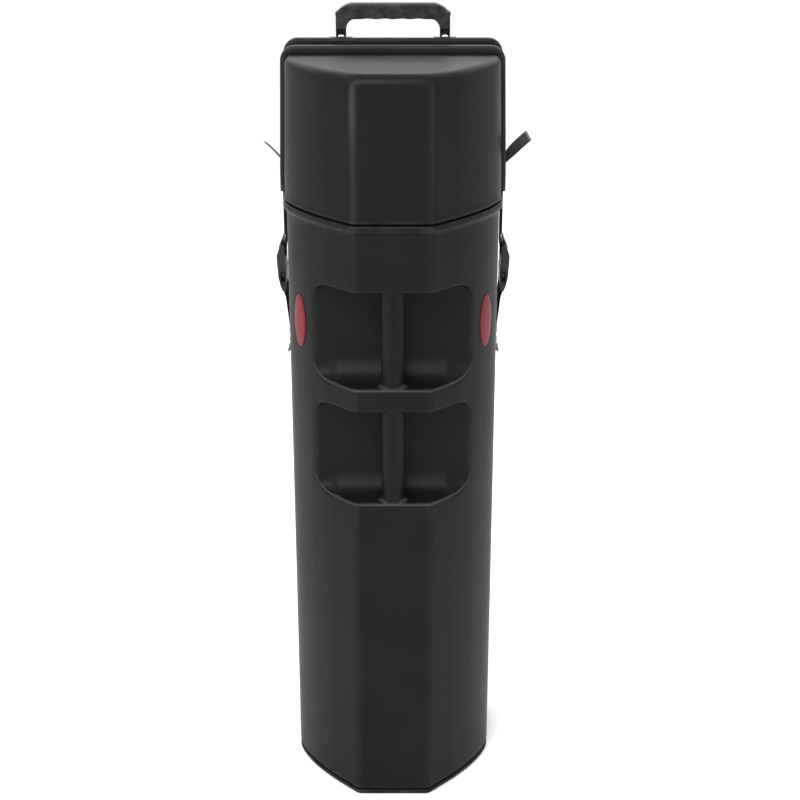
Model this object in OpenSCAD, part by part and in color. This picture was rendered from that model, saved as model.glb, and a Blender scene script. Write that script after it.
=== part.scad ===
// Tall roto-moulded transport case with a lift-off lid, an over-lid strap with
// side-release buckles, a pull handle and two rear wheels.
// Millimetres. +Z is up, -Y is the front. The origin is on the floor, under the
// middle of the plan outline.

/* [Body] */
// Width of the body across its flat sides
body_w = 300; // [280:1:320]
// Depth of the body from the front flat to the back
body_d = 267; // [255:1:280]
// Height of the rim that the lid stands on
rim_z = 903; // [860:1:950]
// Thickness of the moulded wall
wall = 5; // [4:0.5:6]
// Width of the flat front face
front_flat = 108; // [96:1:120]
// Radius of the two upright back corners
back_corner_r = 28; // [20:1:30]
// Thickness of the floor
floor_t = 12; // [12:1:16]
// Height at which the groove above the foot rim starts
groove_z = 6; // [5:0.5:7]
// Height of the groove above the foot rim
groove_h = 4.5; // [3:0.5:5]
// Depth of the groove above the foot rim
groove_depth = 3; // [1:0.5:4]

/* [Rim and neck] */
// Height of the rim bead
bead_h = 13; // [10:1:16]
// How far the rim bead stands out of the wall
bead_out = 5; // [3:0.5:5]
// Height of the neck that stands inside the lid
neck_h = 60; // [40:1:80]
// Gap between the outer wall line and the neck
neck_inset = 3.4; // [3:0.1:4]

/* [Grips] */
// Depth of the grip recesses behind the front face
grip_depth = 59; // [50:1:62]
// Half the width of each row of grips
grip_half_w = 112; // [105:1:114]
// Bottom of the lower row
lower_grip_z = 492; // [480:1:500]
// Bottom of the upper row
upper_grip_z = 666; // [660:1:670]
// Height of each row
grip_h = 141; // [130:1:145]
// Radius of the upper corners of each recess
grip_top_r = 26; // [16:1:28]
// Radius of the lower corners of each recess
grip_low_r = 27; // [20:1:30]
// Radius of the sweep from the floor of a recess to its back
grip_sweep_r = 22; // [14:1:24]
// Diameter of the post in the middle of each row
post_d = 32; // [28:1:34]

/* [Lid] */
// How far the lid stands out of the body's wall line
lid_out = 2; // [1:0.5:2.5]
// Thickness of the lid's wall
lid_wall = 4; // [3.5:0.5:4]
// Height of the lid's flat top
lid_top_z = 1101; // [1095:1:1110]
// Gap between the lid's skirt and the rim
lid_gap = 0.5; // [0.3:0.1:1]
// Radius of the lid's top edge at the front and the back
lid_edge_r = 18; // [14:1:18]
// Radius of the lid's top edge at the sides
lid_side_r = 9; // [8:1:16]
// How far each side of the lid has leant in at its top
lid_draft = 4.5; // [0:0.5:5]
// How far the two ridges stand out of the lid's sides
ridge_out = 8; // [4:0.5:9]
// How far the two ridges stand above the lid's top
ridge_up = 11; // [8:1:11]
// Thickness of each ridge from front to back
ridge_t = 14; // [12:1:16]
// Front face of the front ridge
front_ridge_y = 26.5; // [24:0.5:28]
// Front face of the rear ridge
rear_ridge_y = 92.5; // [91:0.5:93]

/* [Strap] */
// Width of the webbing
strap_w = 38; // [30:1:40]
// Thickness of the webbing
strap_t = 1.3; // [1.1:0.1:1.4]
// Middle of the strap from front to back
strap_y = 66.5; // [65:0.5:68]
// Reach of the loose end on the right
right_tip_x = 194; // [175:1:200]
// Height of the loose end on the right
right_tip_z = 980; // [965:1:990]
// Reach of the loose end on the left
left_tip_x = 184; // [175:1:200]
// Height of the loose end on the left
left_tip_z = 971; // [965:1:990]

/* [Handle] */
// Half the outside width of the handle
handle_half_w = 81.2; // [79:0.1:83]
// Top of the handle
handle_top_z = 1158; // [1154:1:1162]
// Height of the handle's bar
handle_bar_h = 22; // [20:1:24]
// Width of each leg
handle_leg_w = 14.4; // [14:0.1:15]
// Thickness of the handle from front to back
handle_t = 18; // [16:1:18]
// Hinge axis from front to back
hinge_y = 119; // [118:0.5:119]
// Height of the hinge axis
hinge_z = 1106; // [1106:0.1:1106.5]
// Diameter of each hinge pin
hinge_pin_d = 4; // [3.5:0.5:4]

/* [Wheels] */
// Diameter of the wheels
wheel_d = 64; // [58:1:64]
// Width of the wheels
wheel_w = 22; // [20:1:22]
// Middle of each wheel from the centre line
wheel_x = 100; // [98:1:100]
// Wheel axis from front to back
wheel_y = 113; // [112:1:114]
// Height of the wheel axis
wheel_z = 34; // [34:1:36]
// Diameter of each axle
axle_d = 8; // [7:0.5:8]

/* [Badges] */
// Height of the oval badges
badge_h = 77; // [60:1:80]
// Width of the oval badges
badge_w = 31; // [26:1:36]
// Height of the middle of each badge
badge_z = 739; // [700:1:760]

/* [Hidden] */
$fn = 48;

// Running gap of a pin in its own bore, and the gap between pieces that only lie together
fit_gap = 0.05;
rest_gap = 0.2;
overlap = 1;

black_plastic = "#2b2b2b";
dark_plastic = "#1d1d1d";
webbing_black = "#232323";
badge_red = "#96303c";
foam_grey = "#4a4a4a";
steel = "#b4b4b0";
tyre_black = "#181818";
hub_grey = "#5a5a5a";

half_w = body_w / 2;
half_d = body_d / 2;
neck_top_z = rim_z + neck_h;
lid_z = rim_z + lid_gap;
lid_half_w = half_w + lid_out;
lid_half_d = half_d + lid_out;
// The sides of the lid are upright below this height
lean_z = lid_z + 31.5;
// The slanted front facet runs from the front flat to here
facet_x = 98;
facet_y = -half_d + 43.5;
// The curve from the facet to the flat side ends at this depth
side_y = 8;
side_pull_y = -28;
front_edge_r = 14;

// ---------- outline functions ----------
function unit(v) = v / norm(v);
function wrapped(a) = a - 360 * round(a / 360);
function arc(centre, r, from, to, n = 8) =
    [for (i = [0:n]) let (a = from + (to - from) * i / n) centre + r * [cos(a), sin(a)]];
function bend(a, b, c, n = 8) =
    [for (i = [0:n]) let (t = i / n) (1 - t) * (1 - t) * a + 2 * t * (1 - t) * b + t * t * c];
function corner(a, b, c, r, n = 5) =
    let (
        u = unit(a - b), v = unit(c - b), half = acos(u * v) / 2,
        centre = b + unit(u + v) * r / sin(half),
        p = b + u * r / tan(half), q = b + v * r / tan(half),
        from = atan2(p.y - centre.y, p.x - centre.x),
        sweep = wrapped(atan2(q.y - centre.y, q.x - centre.x) - from)
    ) arc(centre, r, from, from + sweep, n);
// A closed outline with each corner rounded to its own radius
function softened(p, radii, n = 5) =
    [for (i = [0:len(p) - 1]) each radii[i] == 0 ? [p[i]] :
        corner(p[(i + len(p) - 1) % len(p)], p[i], p[(i + 1) % len(p)], radii[i], n)];
// A rectangle that is half_w to each side, with its two upper corners rounded
function arched(half_w, low, top, r) =
    softened([[-half_w, low], [half_w, low], [half_w, top], [-half_w, top]], [0, 0, r, r], 8);
// The same for the lid, whose sides lean in above its skirt
function leaning(half_w, low, top, r) = softened(
    [
        [-half_w, low], [half_w, low], [half_w, lean_z], [half_w - lid_draft, top],
        [lid_draft - half_w, top], [-half_w, lean_z]
    ],
    [0, 0, 0, r, r, 0], 8
);
function flipped(p) = [for (i = [len(p) - 1:-1:0]) [-p[i].x, p[i].y]];
// Moves a counter-clockwise outline inwards by t, or outwards when t is negative
function moved_in(p, t) = [for (i = [0:len(p) - 1])
    let (
        a = p[(i + len(p) - 1) % len(p)], b = p[i], c = p[(i + 1) % len(p)],
        u = unit(b - a), v = unit(c - b), m = [-u.y, u.x], n = [-v.y, v.x]
    ) b + t * (m + n) / (1 + m * n)];
// The two sides of a strip of thickness t along an open path
function side_of(p, t) = [for (i = [0:len(p) - 1])
    let (
        u = unit(i == 0 ? p[1] - p[0] : p[i] - p[i - 1]),
        v = unit(i == len(p) - 1 ? p[i] - p[i - 1] : p[i + 1] - p[i]),
        m = [-u.y, u.x], n = [-v.y, v.x]
    ) p[i] + t * (m + n) / (1 + m * n)];
function backwards(p) = [for (i = [len(p) - 1:-1:0]) p[i]];
function strip(p, t) = concat(side_of(p, t / 2), backwards(side_of(p, -t / 2)));

// Plan outline of the body, counter-clockwise from the front right corner
right_outline = concat(
    corner([0, -half_d], [front_flat / 2, -half_d], [facet_x, facet_y], front_edge_r, 4),
    bend([facet_x, facet_y], [half_w, side_pull_y], [half_w, side_y], 10),
    arc([half_w - back_corner_r, half_d - back_corner_r], back_corner_r, 0, 90, 6)
);
outline = concat(right_outline, flipped(right_outline));

// ---------- general shapes ----------
module black() { color(black_plastic) children(); }
module dark() { color(dark_plastic) children(); }
module metal() { color(steel) children(); }
module woven() { color(webbing_black) children(); }
module on_side(side) { mirror([side < 0 ? 1 : 0, 0, 0]) children(); }
module both_sides() { for (side = [-1, 1]) on_side(side) children(); }
// A prism of the plan outline, moved in by t, from z0 to z1
module plan_prism(t, z0, z1) {
    translate([0, 0, z0]) linear_extrude(z1 - z0) polygon(moved_in(outline, t));
}
// A prism whose outline is drawn in X and Z
module xz_prism(p, y0, y1) {
    translate([0, y1, 0]) rotate([90, 0, 0]) linear_extrude(y1 - y0) polygon(p);
}
// A prism whose outline is drawn in Y and Z
module yz_prism(p, x0, x1) {
    translate([x0, 0, 0]) rotate([90, 0, 90]) linear_extrude(x1 - x0) polygon(p);
}
module block(low, high) { translate(low) cube(high - low); }
module x_rod(x0, x1, y, z, r) { translate([x0, y, z]) rotate([0, 90, 0]) cylinder(h = x1 - x0, r = r); }
module y_rod(y0, y1, x, z, r) { translate([x, y1, z]) rotate([90, 0, 0]) cylinder(h = y1 - y0, r = r); }
module z_rod(z0, z1, x, y, r) { translate([x, y, z0]) cylinder(h = z1 - z0, r = r); }

// ---------- grips ----------
grip_back_y = -half_d + grip_depth;
function grip_outline(z, t) = softened(
    [
        [-grip_half_w - t, z - t], [grip_half_w + t, z - t],
        [grip_half_w + t, z + grip_h + t], [-grip_half_w - t, z + grip_h + t]
    ],
    [grip_low_r + t, grip_low_r + t, grip_top_r + t, grip_top_r + t], 6
);
// The moulded wall around one row
module grip_wall(z) {
    intersection() {
        plan_prism(0, z - 2 * wall, z + grip_h + 2 * wall);
        xz_prism(grip_outline(z, wall), -half_d - overlap, grip_back_y + wall);
    }
}
// The space of one row, with the sweep at the back of its floor
module grip_space(z) {
    difference() {
        xz_prism(grip_outline(z, 0), -half_d - 2 * overlap, grip_back_y);
        yz_prism(
            concat(
                [[grip_back_y + overlap, z + grip_sweep_r], [grip_back_y + overlap, z - overlap],
                 [grip_back_y - grip_sweep_r, z - overlap]],
                arc([grip_back_y - grip_sweep_r, z + grip_sweep_r], grip_sweep_r, -90, 0, 6)
            ),
            -grip_half_w - overlap, grip_half_w + overlap
        );
    }
}
post_sink = 3;
post_y = -half_d + post_sink + post_d / 2;
// A hollow post in the middle of each row, from its floor to its ceiling
module grip_posts() {
    black() for (z = [lower_grip_z, upper_grip_z]) difference() {
        z_rod(z, z + grip_h, 0, post_y, post_d / 2);
        z_rod(z - overlap, z + grip_h + overlap, 0, post_y, post_d / 2 - wall);
    }
}

// ---------- wheel pockets ----------
housing_half_w = wheel_w / 2 + 1.7 + 4;
pocket_half_w = housing_half_w + 0.3;
pocket_y = wheel_y - wheel_d / 2 - 7;
pocket_z = wheel_z + wheel_d / 2 + 8;
module wheel_pocket(t) {
    both_sides() block(
        [wheel_x - pocket_half_w - t, pocket_y - t, -overlap],
        [wheel_x + pocket_half_w + t, half_d + overlap, pocket_z + t]
    );
}
housing_rivet_z = [40, 61];
housing_rivet_dx = 7;
module at_housing_rivets() {
    both_sides() for (z = housing_rivet_z, dx = [-housing_rivet_dx, housing_rivet_dx])
        translate([wheel_x + dx, pocket_y, z]) rotate([-90, 0, 0]) children();
}

// ---------- strap anchors ----------
anchor_rivet_z = [687, 672];
rivet_r = 2.4;
module at_anchor_rivets() {
    both_sides() for (z = anchor_rivet_z)
        translate([half_w, strap_y, z]) rotate([0, 90, 0]) children();
}
// A rivet's hole through the moulded wall
module rivet_hole() {
    translate([0, 0, -wall - overlap]) cylinder(h = wall + 2 * overlap, r = rivet_r + fit_gap);
}

// ---------- body ----------
module body_shell() {
    black() difference() {
        union() {
            difference() {
                union() {
                    plan_prism(0, 0, rim_z);
                    plan_prism(-bead_out, rim_z - bead_h, rim_z);
                    plan_prism(neck_inset, rim_z - overlap, neck_top_z);
                }
                plan_prism(wall, floor_t, rim_z - 2 * wall);
                plan_prism(neck_inset + wall, floor_t + overlap, neck_top_z + overlap);
                difference() {
                    plan_prism(-overlap, groove_z, groove_z + groove_h);
                    plan_prism(groove_depth, groove_z - overlap, groove_z + groove_h + overlap);
                }
            }
            grip_wall(lower_grip_z);
            grip_wall(upper_grip_z);
            intersection() {
                plan_prism(0, 0, rim_z);
                wheel_pocket(wall);
            }
        }
        grip_space(lower_grip_z);
        grip_space(upper_grip_z);
        wheel_pocket(0);
        at_housing_rivets() rivet_hole();
        at_anchor_rivets() rivet_hole();
    }
}

pad_t = 15;
module base_pad() {
    color(foam_grey) difference() {
        plan_prism(wall + 1, floor_t + rest_gap, floor_t + pad_t);
        wheel_pocket(wall + 1);
    }
}

badge_x = 131.5;
badge_y = -44.2;
badge_turn = 59;
badge_t = 1.2;
// A thin oval plate bent to the curve of the wall
module badge(side) {
    color(badge_red) on_side(side) intersection() {
        difference() {
            plan_prism(-badge_t, badge_z - badge_h, badge_z + badge_h);
            plan_prism(-fit_gap, badge_z - badge_h - overlap, badge_z + badge_h + overlap);
        }
        translate([badge_x, badge_y, badge_z]) rotate([0, 0, badge_turn - 90]) rotate([0, 90, 0])
            linear_extrude(30, center = true)
                polygon([for (a = [0:10:350]) [badge_h / 2 * cos(a), badge_w / 2 * sin(a)]]);
    }
}
module badge_left() { badge(-1); }
module badge_right() { badge(1); }

// ---------- buckles ----------
buckle_half_w = 25;
throat_half_w = 22;
// The arms and the guide lie between these two faces, in a cavity with room to slide
prong_x = [159.2, 162.4];
cavity_x = 158.2;
cavity_low_z = 767;
slot_half_w = strap_w / 2 + 0.8;
// The slots for the webbing are cut right through, between these two faces
slot_x = [150, 180];
slot_top_z = 764;
female_top_z = 788;
female_low_z = 754;
female_in_x = half_w + 6.3;
low_bar = [159, 757];
low_bar_r = 2;
window_z = [769, 784];
window_depth = 5;
module female_buckle(side) {
    dark() on_side(side) difference() {
        xz_prism(
            softened(
                [[female_in_x, female_low_z + 3], [158, female_low_z], [161.5, female_low_z],
                 [164.5, 761], [167.6, 775], [168.3, female_top_z], [female_in_x, female_top_z]],
                [0, 1, 1.5, 2, 4, 1, 0.6], 3
            ),
            strap_y - buckle_half_w, strap_y + buckle_half_w
        );
        // The cavity that takes the prongs
        xz_prism(
            [[cavity_x, female_top_z + overlap], [cavity_x, cavity_low_z], [162.8, cavity_low_z], [166, 780],
             [166, female_top_z + overlap]],
            strap_y - throat_half_w, strap_y + throat_half_w
        );
        // A window on each edge, where the arms are pressed
        for (s = [-1, 1]) block(
            [cavity_x, strap_y + s * buckle_half_w - window_depth, window_z[0]],
            [prong_x[1] + 1, strap_y + s * buckle_half_w + window_depth, window_z[1]]
        );
        // The slot round the strap bar
        difference() {
            block([slot_x[0], strap_y - slot_half_w, female_low_z - overlap],
                [slot_x[1], strap_y + slot_half_w, slot_top_z]);
            y_rod(strap_y - slot_half_w, strap_y + slot_half_w, low_bar.x, low_bar.y, low_bar_r);
        }
    }
}
module female_buckle_left() { female_buckle(-1); }
module female_buckle_right() { female_buckle(1); }

end_bar = [160.2, 821.5];
end_bar_r = 2.2;
wrap_bar = [161.5, 806];
wrap_bar_r = 2.9;
bridge_low_z = female_top_z + 0.4;
bridge_top_z = 800;
guide_low_z = 769;
guide_half_w = 5;
module male_buckle(side) {
    bar_half_w = slot_half_w + overlap;
    dark() on_side(side) {
        // Two rails and the bridge between them
        for (s = [-1, 1]) xz_prism(
            softened(
                [[156.9, bridge_low_z], [168.6, bridge_low_z], [169.4, 808], [166, 818],
                 [161.5, 825], [157.6, 822]],
                [0.6, 0.8, 4, 3, 1.5, 2], 3
            ),
            strap_y + (s > 0 ? slot_half_w : -buckle_half_w),
            strap_y + (s > 0 ? buckle_half_w : -slot_half_w)
        );
        xz_prism(
            softened(
                [[156.9, bridge_low_z], [168.6, bridge_low_z], [169.1, bridge_top_z], [157.3, bridge_top_z]],
                [0.6, 0.8, 1.5, 1.5], 3
            ),
            strap_y - buckle_half_w, strap_y + buckle_half_w
        );
        y_rod(strap_y - bar_half_w, strap_y + bar_half_w, end_bar.x, end_bar.y, end_bar_r);
        y_rod(strap_y - bar_half_w, strap_y + bar_half_w, wrap_bar.x, wrap_bar.y, wrap_bar_r);
        // The guide prong
        block([prong_x[0], strap_y - guide_half_w, guide_low_z],
            [prong_x[1], strap_y + guide_half_w, bridge_low_z + overlap]);
    }
}
module male_buckle_left() { male_buckle(-1); }
module male_buckle_right() { male_buckle(1); }

arm_root = [15, 786];
arm_root_r = 1.8;
// One springy arm of the buckle, round at its root. end is -1 for the front arm and 1 for the rear one.
module squeeze_arm(side, end) {
    dark() on_side(side) translate([prong_x[0], strap_y, 0]) mirror([0, end < 0 ? 1 : 0, 0])
        rotate([90, 0, 90]) linear_extrude(prong_x[1] - prong_x[0]) {
            translate(arm_root) circle(arm_root_r);
            polygon(softened(
                [[arm_root.x - arm_root_r, arm_root.y], [arm_root.x + arm_root_r, arm_root.y], [18.2, 784.5],
                 [21.7, 782], [21.4, 775], [17.2, 769.5], [15.6, 769.5], [16.2, 777]],
                [0, 0, 1.5, 0.6, 3, 0.8, 0.5, 3], 3
            ));
        }
}
module squeeze_arm_left_front() { squeeze_arm(-1, -1); }
module squeeze_arm_left_rear() { squeeze_arm(-1, 1); }
module squeeze_arm_right_front() { squeeze_arm(1, -1); }
module squeeze_arm_right_rear() { squeeze_arm(1, 1); }

// ---------- webbing ----------
wall_web_x = half_w + rest_gap + strap_t / 2;
second_web_x = wall_web_x + strap_t + 0.2;
anchor_low_z = 661;
anchor_bend_z = 694;
// From the inner end, up round the buckle's bar, and back down to the turned-out tip
anchor_path = concat(
    [[wall_web_x, anchor_low_z], [wall_web_x, anchor_bend_z]],
    arc(low_bar, low_bar_r + 0.1 + strap_t / 2, 175, 0, 8),
    [[157.8, 744], [second_web_x, anchor_bend_z - 1], [second_web_x, 665]],
    bend([second_web_x, 662], [154, 659.5], [157.5, 658], 3)
);
module anchor_strap(side) {
    woven() difference() {
        on_side(side) xz_prism(strip(anchor_path, strap_t), strap_y - strap_w / 2, strap_y + strap_w / 2);
        at_anchor_rivets() cylinder(h = 12, r = rivet_r + fit_gap);
    }
}
module anchor_strap_left() { anchor_strap(-1); }
module anchor_strap_right() { anchor_strap(1); }

anchor_head_x = second_web_x + strap_t / 2 + 0.05 - half_w;
anchor_head_r = 6;
anchor_flange_t = 1.2;
washer_t = 1.6;
washer_r = 9;
rivet_tail_r = 4;
module strap_rivets() {
    tail_z = -wall - washer_t - 2;
    metal() at_anchor_rivets() {
        translate([0, 0, tail_z]) cylinder(h = anchor_head_x + 1 - tail_z, r = rivet_r);
        translate([0, 0, anchor_head_x]) cylinder(h = anchor_flange_t, r = anchor_head_r);
        translate([0, 0, anchor_head_x + anchor_flange_t])
            cylinder(h = 1.3, r1 = anchor_head_r - 0.4, r2 = anchor_head_r - 2);
        translate([0, 0, tail_z]) cylinder(h = 1.8, r = rivet_tail_r);
    }
}
module rivet_washers() {
    metal() at_anchor_rivets() translate([0, 0, -wall - washer_t - 0.1]) difference() {
        cylinder(h = washer_t, r = washer_r);
        translate([0, 0, -overlap]) cylinder(h = washer_t + 2 * overlap, r = rivet_r + fit_gap);
    }
}

// The strap hangs just clear of the rim bead, and lies on the lid above it
load_x = half_w + bead_out + 0.3 + strap_t / 2;
tail_x = load_x + strap_t + 0.15;
lid_web_x = lid_half_w + rest_gap + strap_t / 2;
lid_tail_x = lid_web_x + strap_t + 0.15;
// Centre of the lid's rounded upper corner
lid_corner_z = lid_top_z - lid_side_r;
lid_corner_x = lid_half_w - lid_side_r - lid_draft * (lid_corner_z - lean_z) / (lid_top_z - lean_z);
wrap_r = wrap_bar_r + 0.2 + strap_t / 2;
// One side, from the loose end to the middle of the lid's top
function strap_side(tip) = concat(
    bend(tip, [159.5, 950], [lid_tail_x, 935], 6),
    [[lid_tail_x, 916], [tail_x, 905]],
    bend([tail_x, 842], [tail_x, 833.5], [161.4, 829.2], 4),
    [[165.2, 817.5]],
    arc(wrap_bar, wrap_r, 0, -180, 8),
    [[load_x, 822], [load_x, 905], [lid_web_x, 916], [lid_web_x, lean_z]],
    arc([lid_corner_x, lid_corner_z], lid_side_r + rest_gap + strap_t / 2, 0, 90, 6)
);
module over_strap() {
    path = concat(strap_side([right_tip_x, right_tip_z]), flipped(strap_side([left_tip_x, left_tip_z])));
    woven() xz_prism(strip(path, strap_t), strap_y - strap_w / 2, strap_y + strap_w / 2);
}

keeper_z = 917;
keeper_h = 13;
keeper_half_w = strap_w / 2 + 1.2;
keeper_out = lid_tail_x + strap_t / 2 + 0.25;
keeper_t = 1.2;
keeper_foot = 5.6;
keeper_screw_y = keeper_half_w + keeper_t + 2.2;
keeper_screw_r = 1.5;
module keeper_screw_holes() {
    for (s = [-1, 1]) x_rod(lid_half_w - 8, keeper_out + 8, strap_y + s * keeper_screw_y,
        keeper_z + keeper_h / 2, keeper_screw_r);
}
// A stiff loop that holds both layers of webbing to the lid
module strap_keeper(side) {
    foot = lid_half_w + 0.05;
    dark() on_side(side) difference() {
        translate([0, 0, keeper_z]) linear_extrude(keeper_h) polygon([
            for (s = [-1, 1], p = [
                [foot, keeper_half_w], [foot, keeper_half_w + keeper_foot],
                [foot + keeper_t, keeper_half_w + keeper_foot], [foot + keeper_t, keeper_half_w + keeper_t],
                [keeper_out + keeper_t, keeper_half_w + keeper_t]
            ]) [p.x, strap_y + s * p.y]
        ], [[4, 3, 2, 1, 0, 5, 6, 7, 8, 9]]);
        block([0, strap_y - keeper_half_w, keeper_z - overlap],
            [keeper_out, strap_y + keeper_half_w, keeper_z + keeper_h + overlap]);
        keeper_screw_holes();
    }
}
module strap_keeper_left() { strap_keeper(-1); }
module strap_keeper_right() { strap_keeper(1); }
module keeper_screws() {
    metal() both_sides() for (s = [-1, 1]) {
        y = strap_y + s * keeper_screw_y;
        z = keeper_z + keeper_h / 2;
        x_rod(lid_half_w + 0.05 + keeper_t, lid_half_w + keeper_t + 1.4, y, z, 2.1);
        x_rod(lid_half_w - 3.6, lid_half_w + keeper_t + 0.6, y, z, keeper_screw_r - fit_gap);
    }
}

// ---------- lid ----------
// The solid of the lid, moved in by t, with its top edges rounded all round
module lid_block(t, z0) {
    top = lid_top_z - t;
    intersection() {
        plan_prism(t - lid_out, z0, top);
        xz_prism(leaning(lid_half_w - t, z0, top, lid_side_r - t), -lid_half_d - overlap, lid_half_d + overlap);
        yz_prism(arched(lid_half_d - t, z0, top, lid_edge_r - t), -lid_half_w - overlap, lid_half_w + overlap);
    }
}
ridge_r = 20;
ridge_low_z = lid_z + 4.5;
module ridge(y) {
    sink = lid_wall / 2;
    difference() {
        xz_prism(leaning(lid_half_w + ridge_out, ridge_low_z, lid_top_z + ridge_up, ridge_r), y, y + ridge_t);
        xz_prism(leaning(lid_half_w - sink, lid_z - overlap, lid_top_z - sink, lid_side_r - sink),
            y - overlap, y + ridge_t + overlap);
    }
}
leg_mid_x = handle_half_w - handle_leg_w / 2;
bracket_half_w = 26;
// The bracket's plate ends here, clear of the legs when they are folded back
bracket_y = [rear_ridge_y + ridge_t + 1, hinge_y + 5];
bracket_sink = 3;
bracket_boss = 7;
bracket_screw_dx = 21.5;
bracket_hole_r = 2.1;
// The block of space under one bracket, wider than it by margin, and open at the back
module under_bracket(margin, z0, z1) {
    block([leg_mid_x - bracket_half_w - margin, bracket_y[0] - margin, z0],
        [leg_mid_x + bracket_half_w + margin, half_d + 10, z1]);
}
module at_bracket_screws() {
    both_sides() for (dx = [-bracket_screw_dx, bracket_screw_dx])
        translate([leg_mid_x + dx, hinge_y, lid_top_z - bracket_sink]) children();
}
module lid_shell() {
    black() difference() {
        union() {
            difference() {
                lid_block(0, lid_z);
                lid_block(lid_wall, lid_z - overlap);
            }
            ridge(front_ridge_y);
            ridge(rear_ridge_y);
            // Thick pads under the handle's brackets
            both_sides() intersection() {
                lid_block(0, lid_z);
                under_bracket(3, lid_top_z - bracket_sink - bracket_boss, lid_top_z);
            }
        }
        // Flat seats sunk into the top for the brackets
        both_sides() under_bracket(0.5, lid_top_z - bracket_sink, lid_top_z + 2 * ridge_up);
        at_bracket_screws() translate([0, 0, -20]) cylinder(h = 30, r = bracket_hole_r);
        both_sides() keeper_screw_holes();
    }
}
module lid_pad() {
    low = lid_top_z - lid_wall - 14;
    top = lid_top_z - lid_wall - rest_gap;
    pad_half_w = half_w - front_edge_r - lid_draft;
    color(foam_grey) difference() {
        plan_prism(front_edge_r - 0.2, low, top);
        both_sides() block([pad_half_w, -half_d, low - overlap], [half_w, half_d, top + overlap]);
        both_sides() under_bracket(6, lid_top_z - 30, lid_top_z);
    }
}

// ---------- handle and its hinges ----------
fork_gap = 9;
knuckle_r = 4.5;
hinge_gap = 0.35;
outer_knuckle = [handle_leg_w / 2 + hinge_gap, handle_leg_w / 2 + hinge_gap + 8.6];
knuckle_spans = [
    [-outer_knuckle[1], -outer_knuckle[0]],
    [-fork_gap / 2 + hinge_gap, fork_gap / 2 - hinge_gap],
    [outer_knuckle[0], outer_knuckle[1]]
];
bracket_z = lid_top_z - bracket_sink + 0.05;
bracket_t = 2.2;
module handle_bracket(side) {
    black() on_side(side) translate([leg_mid_x, 0, 0]) difference() {
        union() {
            block([-bracket_half_w, bracket_y[0], bracket_z],
                [bracket_half_w, bracket_y[1], bracket_z + bracket_t]);
            for (k = knuckle_spans) {
                x_rod(k[0], k[1], hinge_y, hinge_z, knuckle_r);
                block([k[0], hinge_y - knuckle_r, bracket_z], [k[1], hinge_y + knuckle_r, hinge_z]);
            }
        }
        x_rod(-30, 30, hinge_y, hinge_z, hinge_pin_d / 2 + fit_gap);
        for (dx = [-bracket_screw_dx, bracket_screw_dx])
            z_rod(bracket_z - overlap, bracket_z + bracket_t + overlap, dx, hinge_y, bracket_hole_r);
    }
}
module handle_bracket_left() { handle_bracket(-1); }
module handle_bracket_right() { handle_bracket(1); }
module hinge_pin(side) {
    reach = outer_knuckle[1] - 0.4;
    metal() on_side(side) x_rod(leg_mid_x - reach, leg_mid_x + reach, hinge_y, hinge_z, hinge_pin_d / 2);
}
module hinge_pin_left() { hinge_pin(-1); }
module hinge_pin_right() { hinge_pin(1); }
bracket_screw_r = 2;
module bracket_screws() {
    metal() at_bracket_screws() {
        translate([0, 0, bracket_t + 0.1]) cylinder(h = 1.9, r = 3.6);
        translate([0, 0, -bracket_boss - 4]) cylinder(h = bracket_boss + 5 + bracket_t, r = bracket_screw_r);
    }
}
module bracket_nuts() {
    metal() at_bracket_screws() translate([0, 0, -bracket_boss - 3.3]) difference() {
        cylinder(h = 3.2, r = 4, $fn = 6);
        translate([0, 0, -overlap]) cylinder(h = 6, r = bracket_screw_r + fit_gap);
    }
}

bar_low_z = handle_top_z - handle_bar_h;
leg_in_x = handle_half_w - handle_leg_w;
inner_bend = [12, 16];
chamfer_x = 58.5;
chamfer_z = handle_top_z - 12;
finger_wave = 0.9;
right_handle = concat(
    [[0, handle_top_z], [chamfer_x, handle_top_z]],
    bend([chamfer_x + 1, handle_top_z - 0.3], [72, handle_top_z - 3.5], [handle_half_w - 2.2, chamfer_z], 6),
    [[handle_half_w - 0.2, chamfer_z + 0.2], [handle_half_w + 0.8, chamfer_z - 2.4],
     [handle_half_w, chamfer_z - 5], [handle_half_w, hinge_z - 8], [leg_in_x, hinge_z - 8]],
    [for (a = [0:15:90])
        [leg_in_x - inner_bend.x * (1 - cos(a)), bar_low_z - inner_bend.y * (1 - sin(a))]],
    // Four shallow finger waves along the underside
    [for (x = [48:-3:0]) [x, bar_low_z + finger_wave * pow(sin(x * 180 / 24), 2)]]
);
handle_outline = concat(right_handle, flipped([for (p = right_handle) if (p.x > 0) p]));
foot_r = 4.4;
// From the side a leg is round at the hinge and widens to the thickness of the bar
handle_side = concat(
    arc([hinge_y, hinge_z], foot_r, 180, 360, 8),
    [[hinge_y + 5.6, hinge_z + 8], [hinge_y + handle_t / 2, hinge_z + 17]],
    softened([[hinge_y + handle_t / 2, hinge_z + 20], [hinge_y + handle_t / 2, handle_top_z],
        [hinge_y - handle_t / 2, handle_top_z], [hinge_y - handle_t / 2, hinge_z + 20]], [0, 4, 4, 0], 4),
    [[hinge_y - handle_t / 2, hinge_z + 17], [hinge_y - 5.6, hinge_z + 8]]
);
module carry_handle() {
    black() difference() {
        intersection() {
            xz_prism(handle_outline, hinge_y - 20, hinge_y + 20);
            yz_prism(handle_side, -100, 100);
        }
        both_sides() {
            // The fork over the middle knuckle
            translate([leg_mid_x, 0, 0]) xz_prism(
                arched(fork_gap / 2, hinge_z - 20, hinge_z + 8, 3), hinge_y - 25, hinge_y + 25
            );
            x_rod(leg_mid_x - 20, leg_mid_x + 20, hinge_y, hinge_z, hinge_pin_d / 2 + fit_gap);
        }
    }
}

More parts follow.
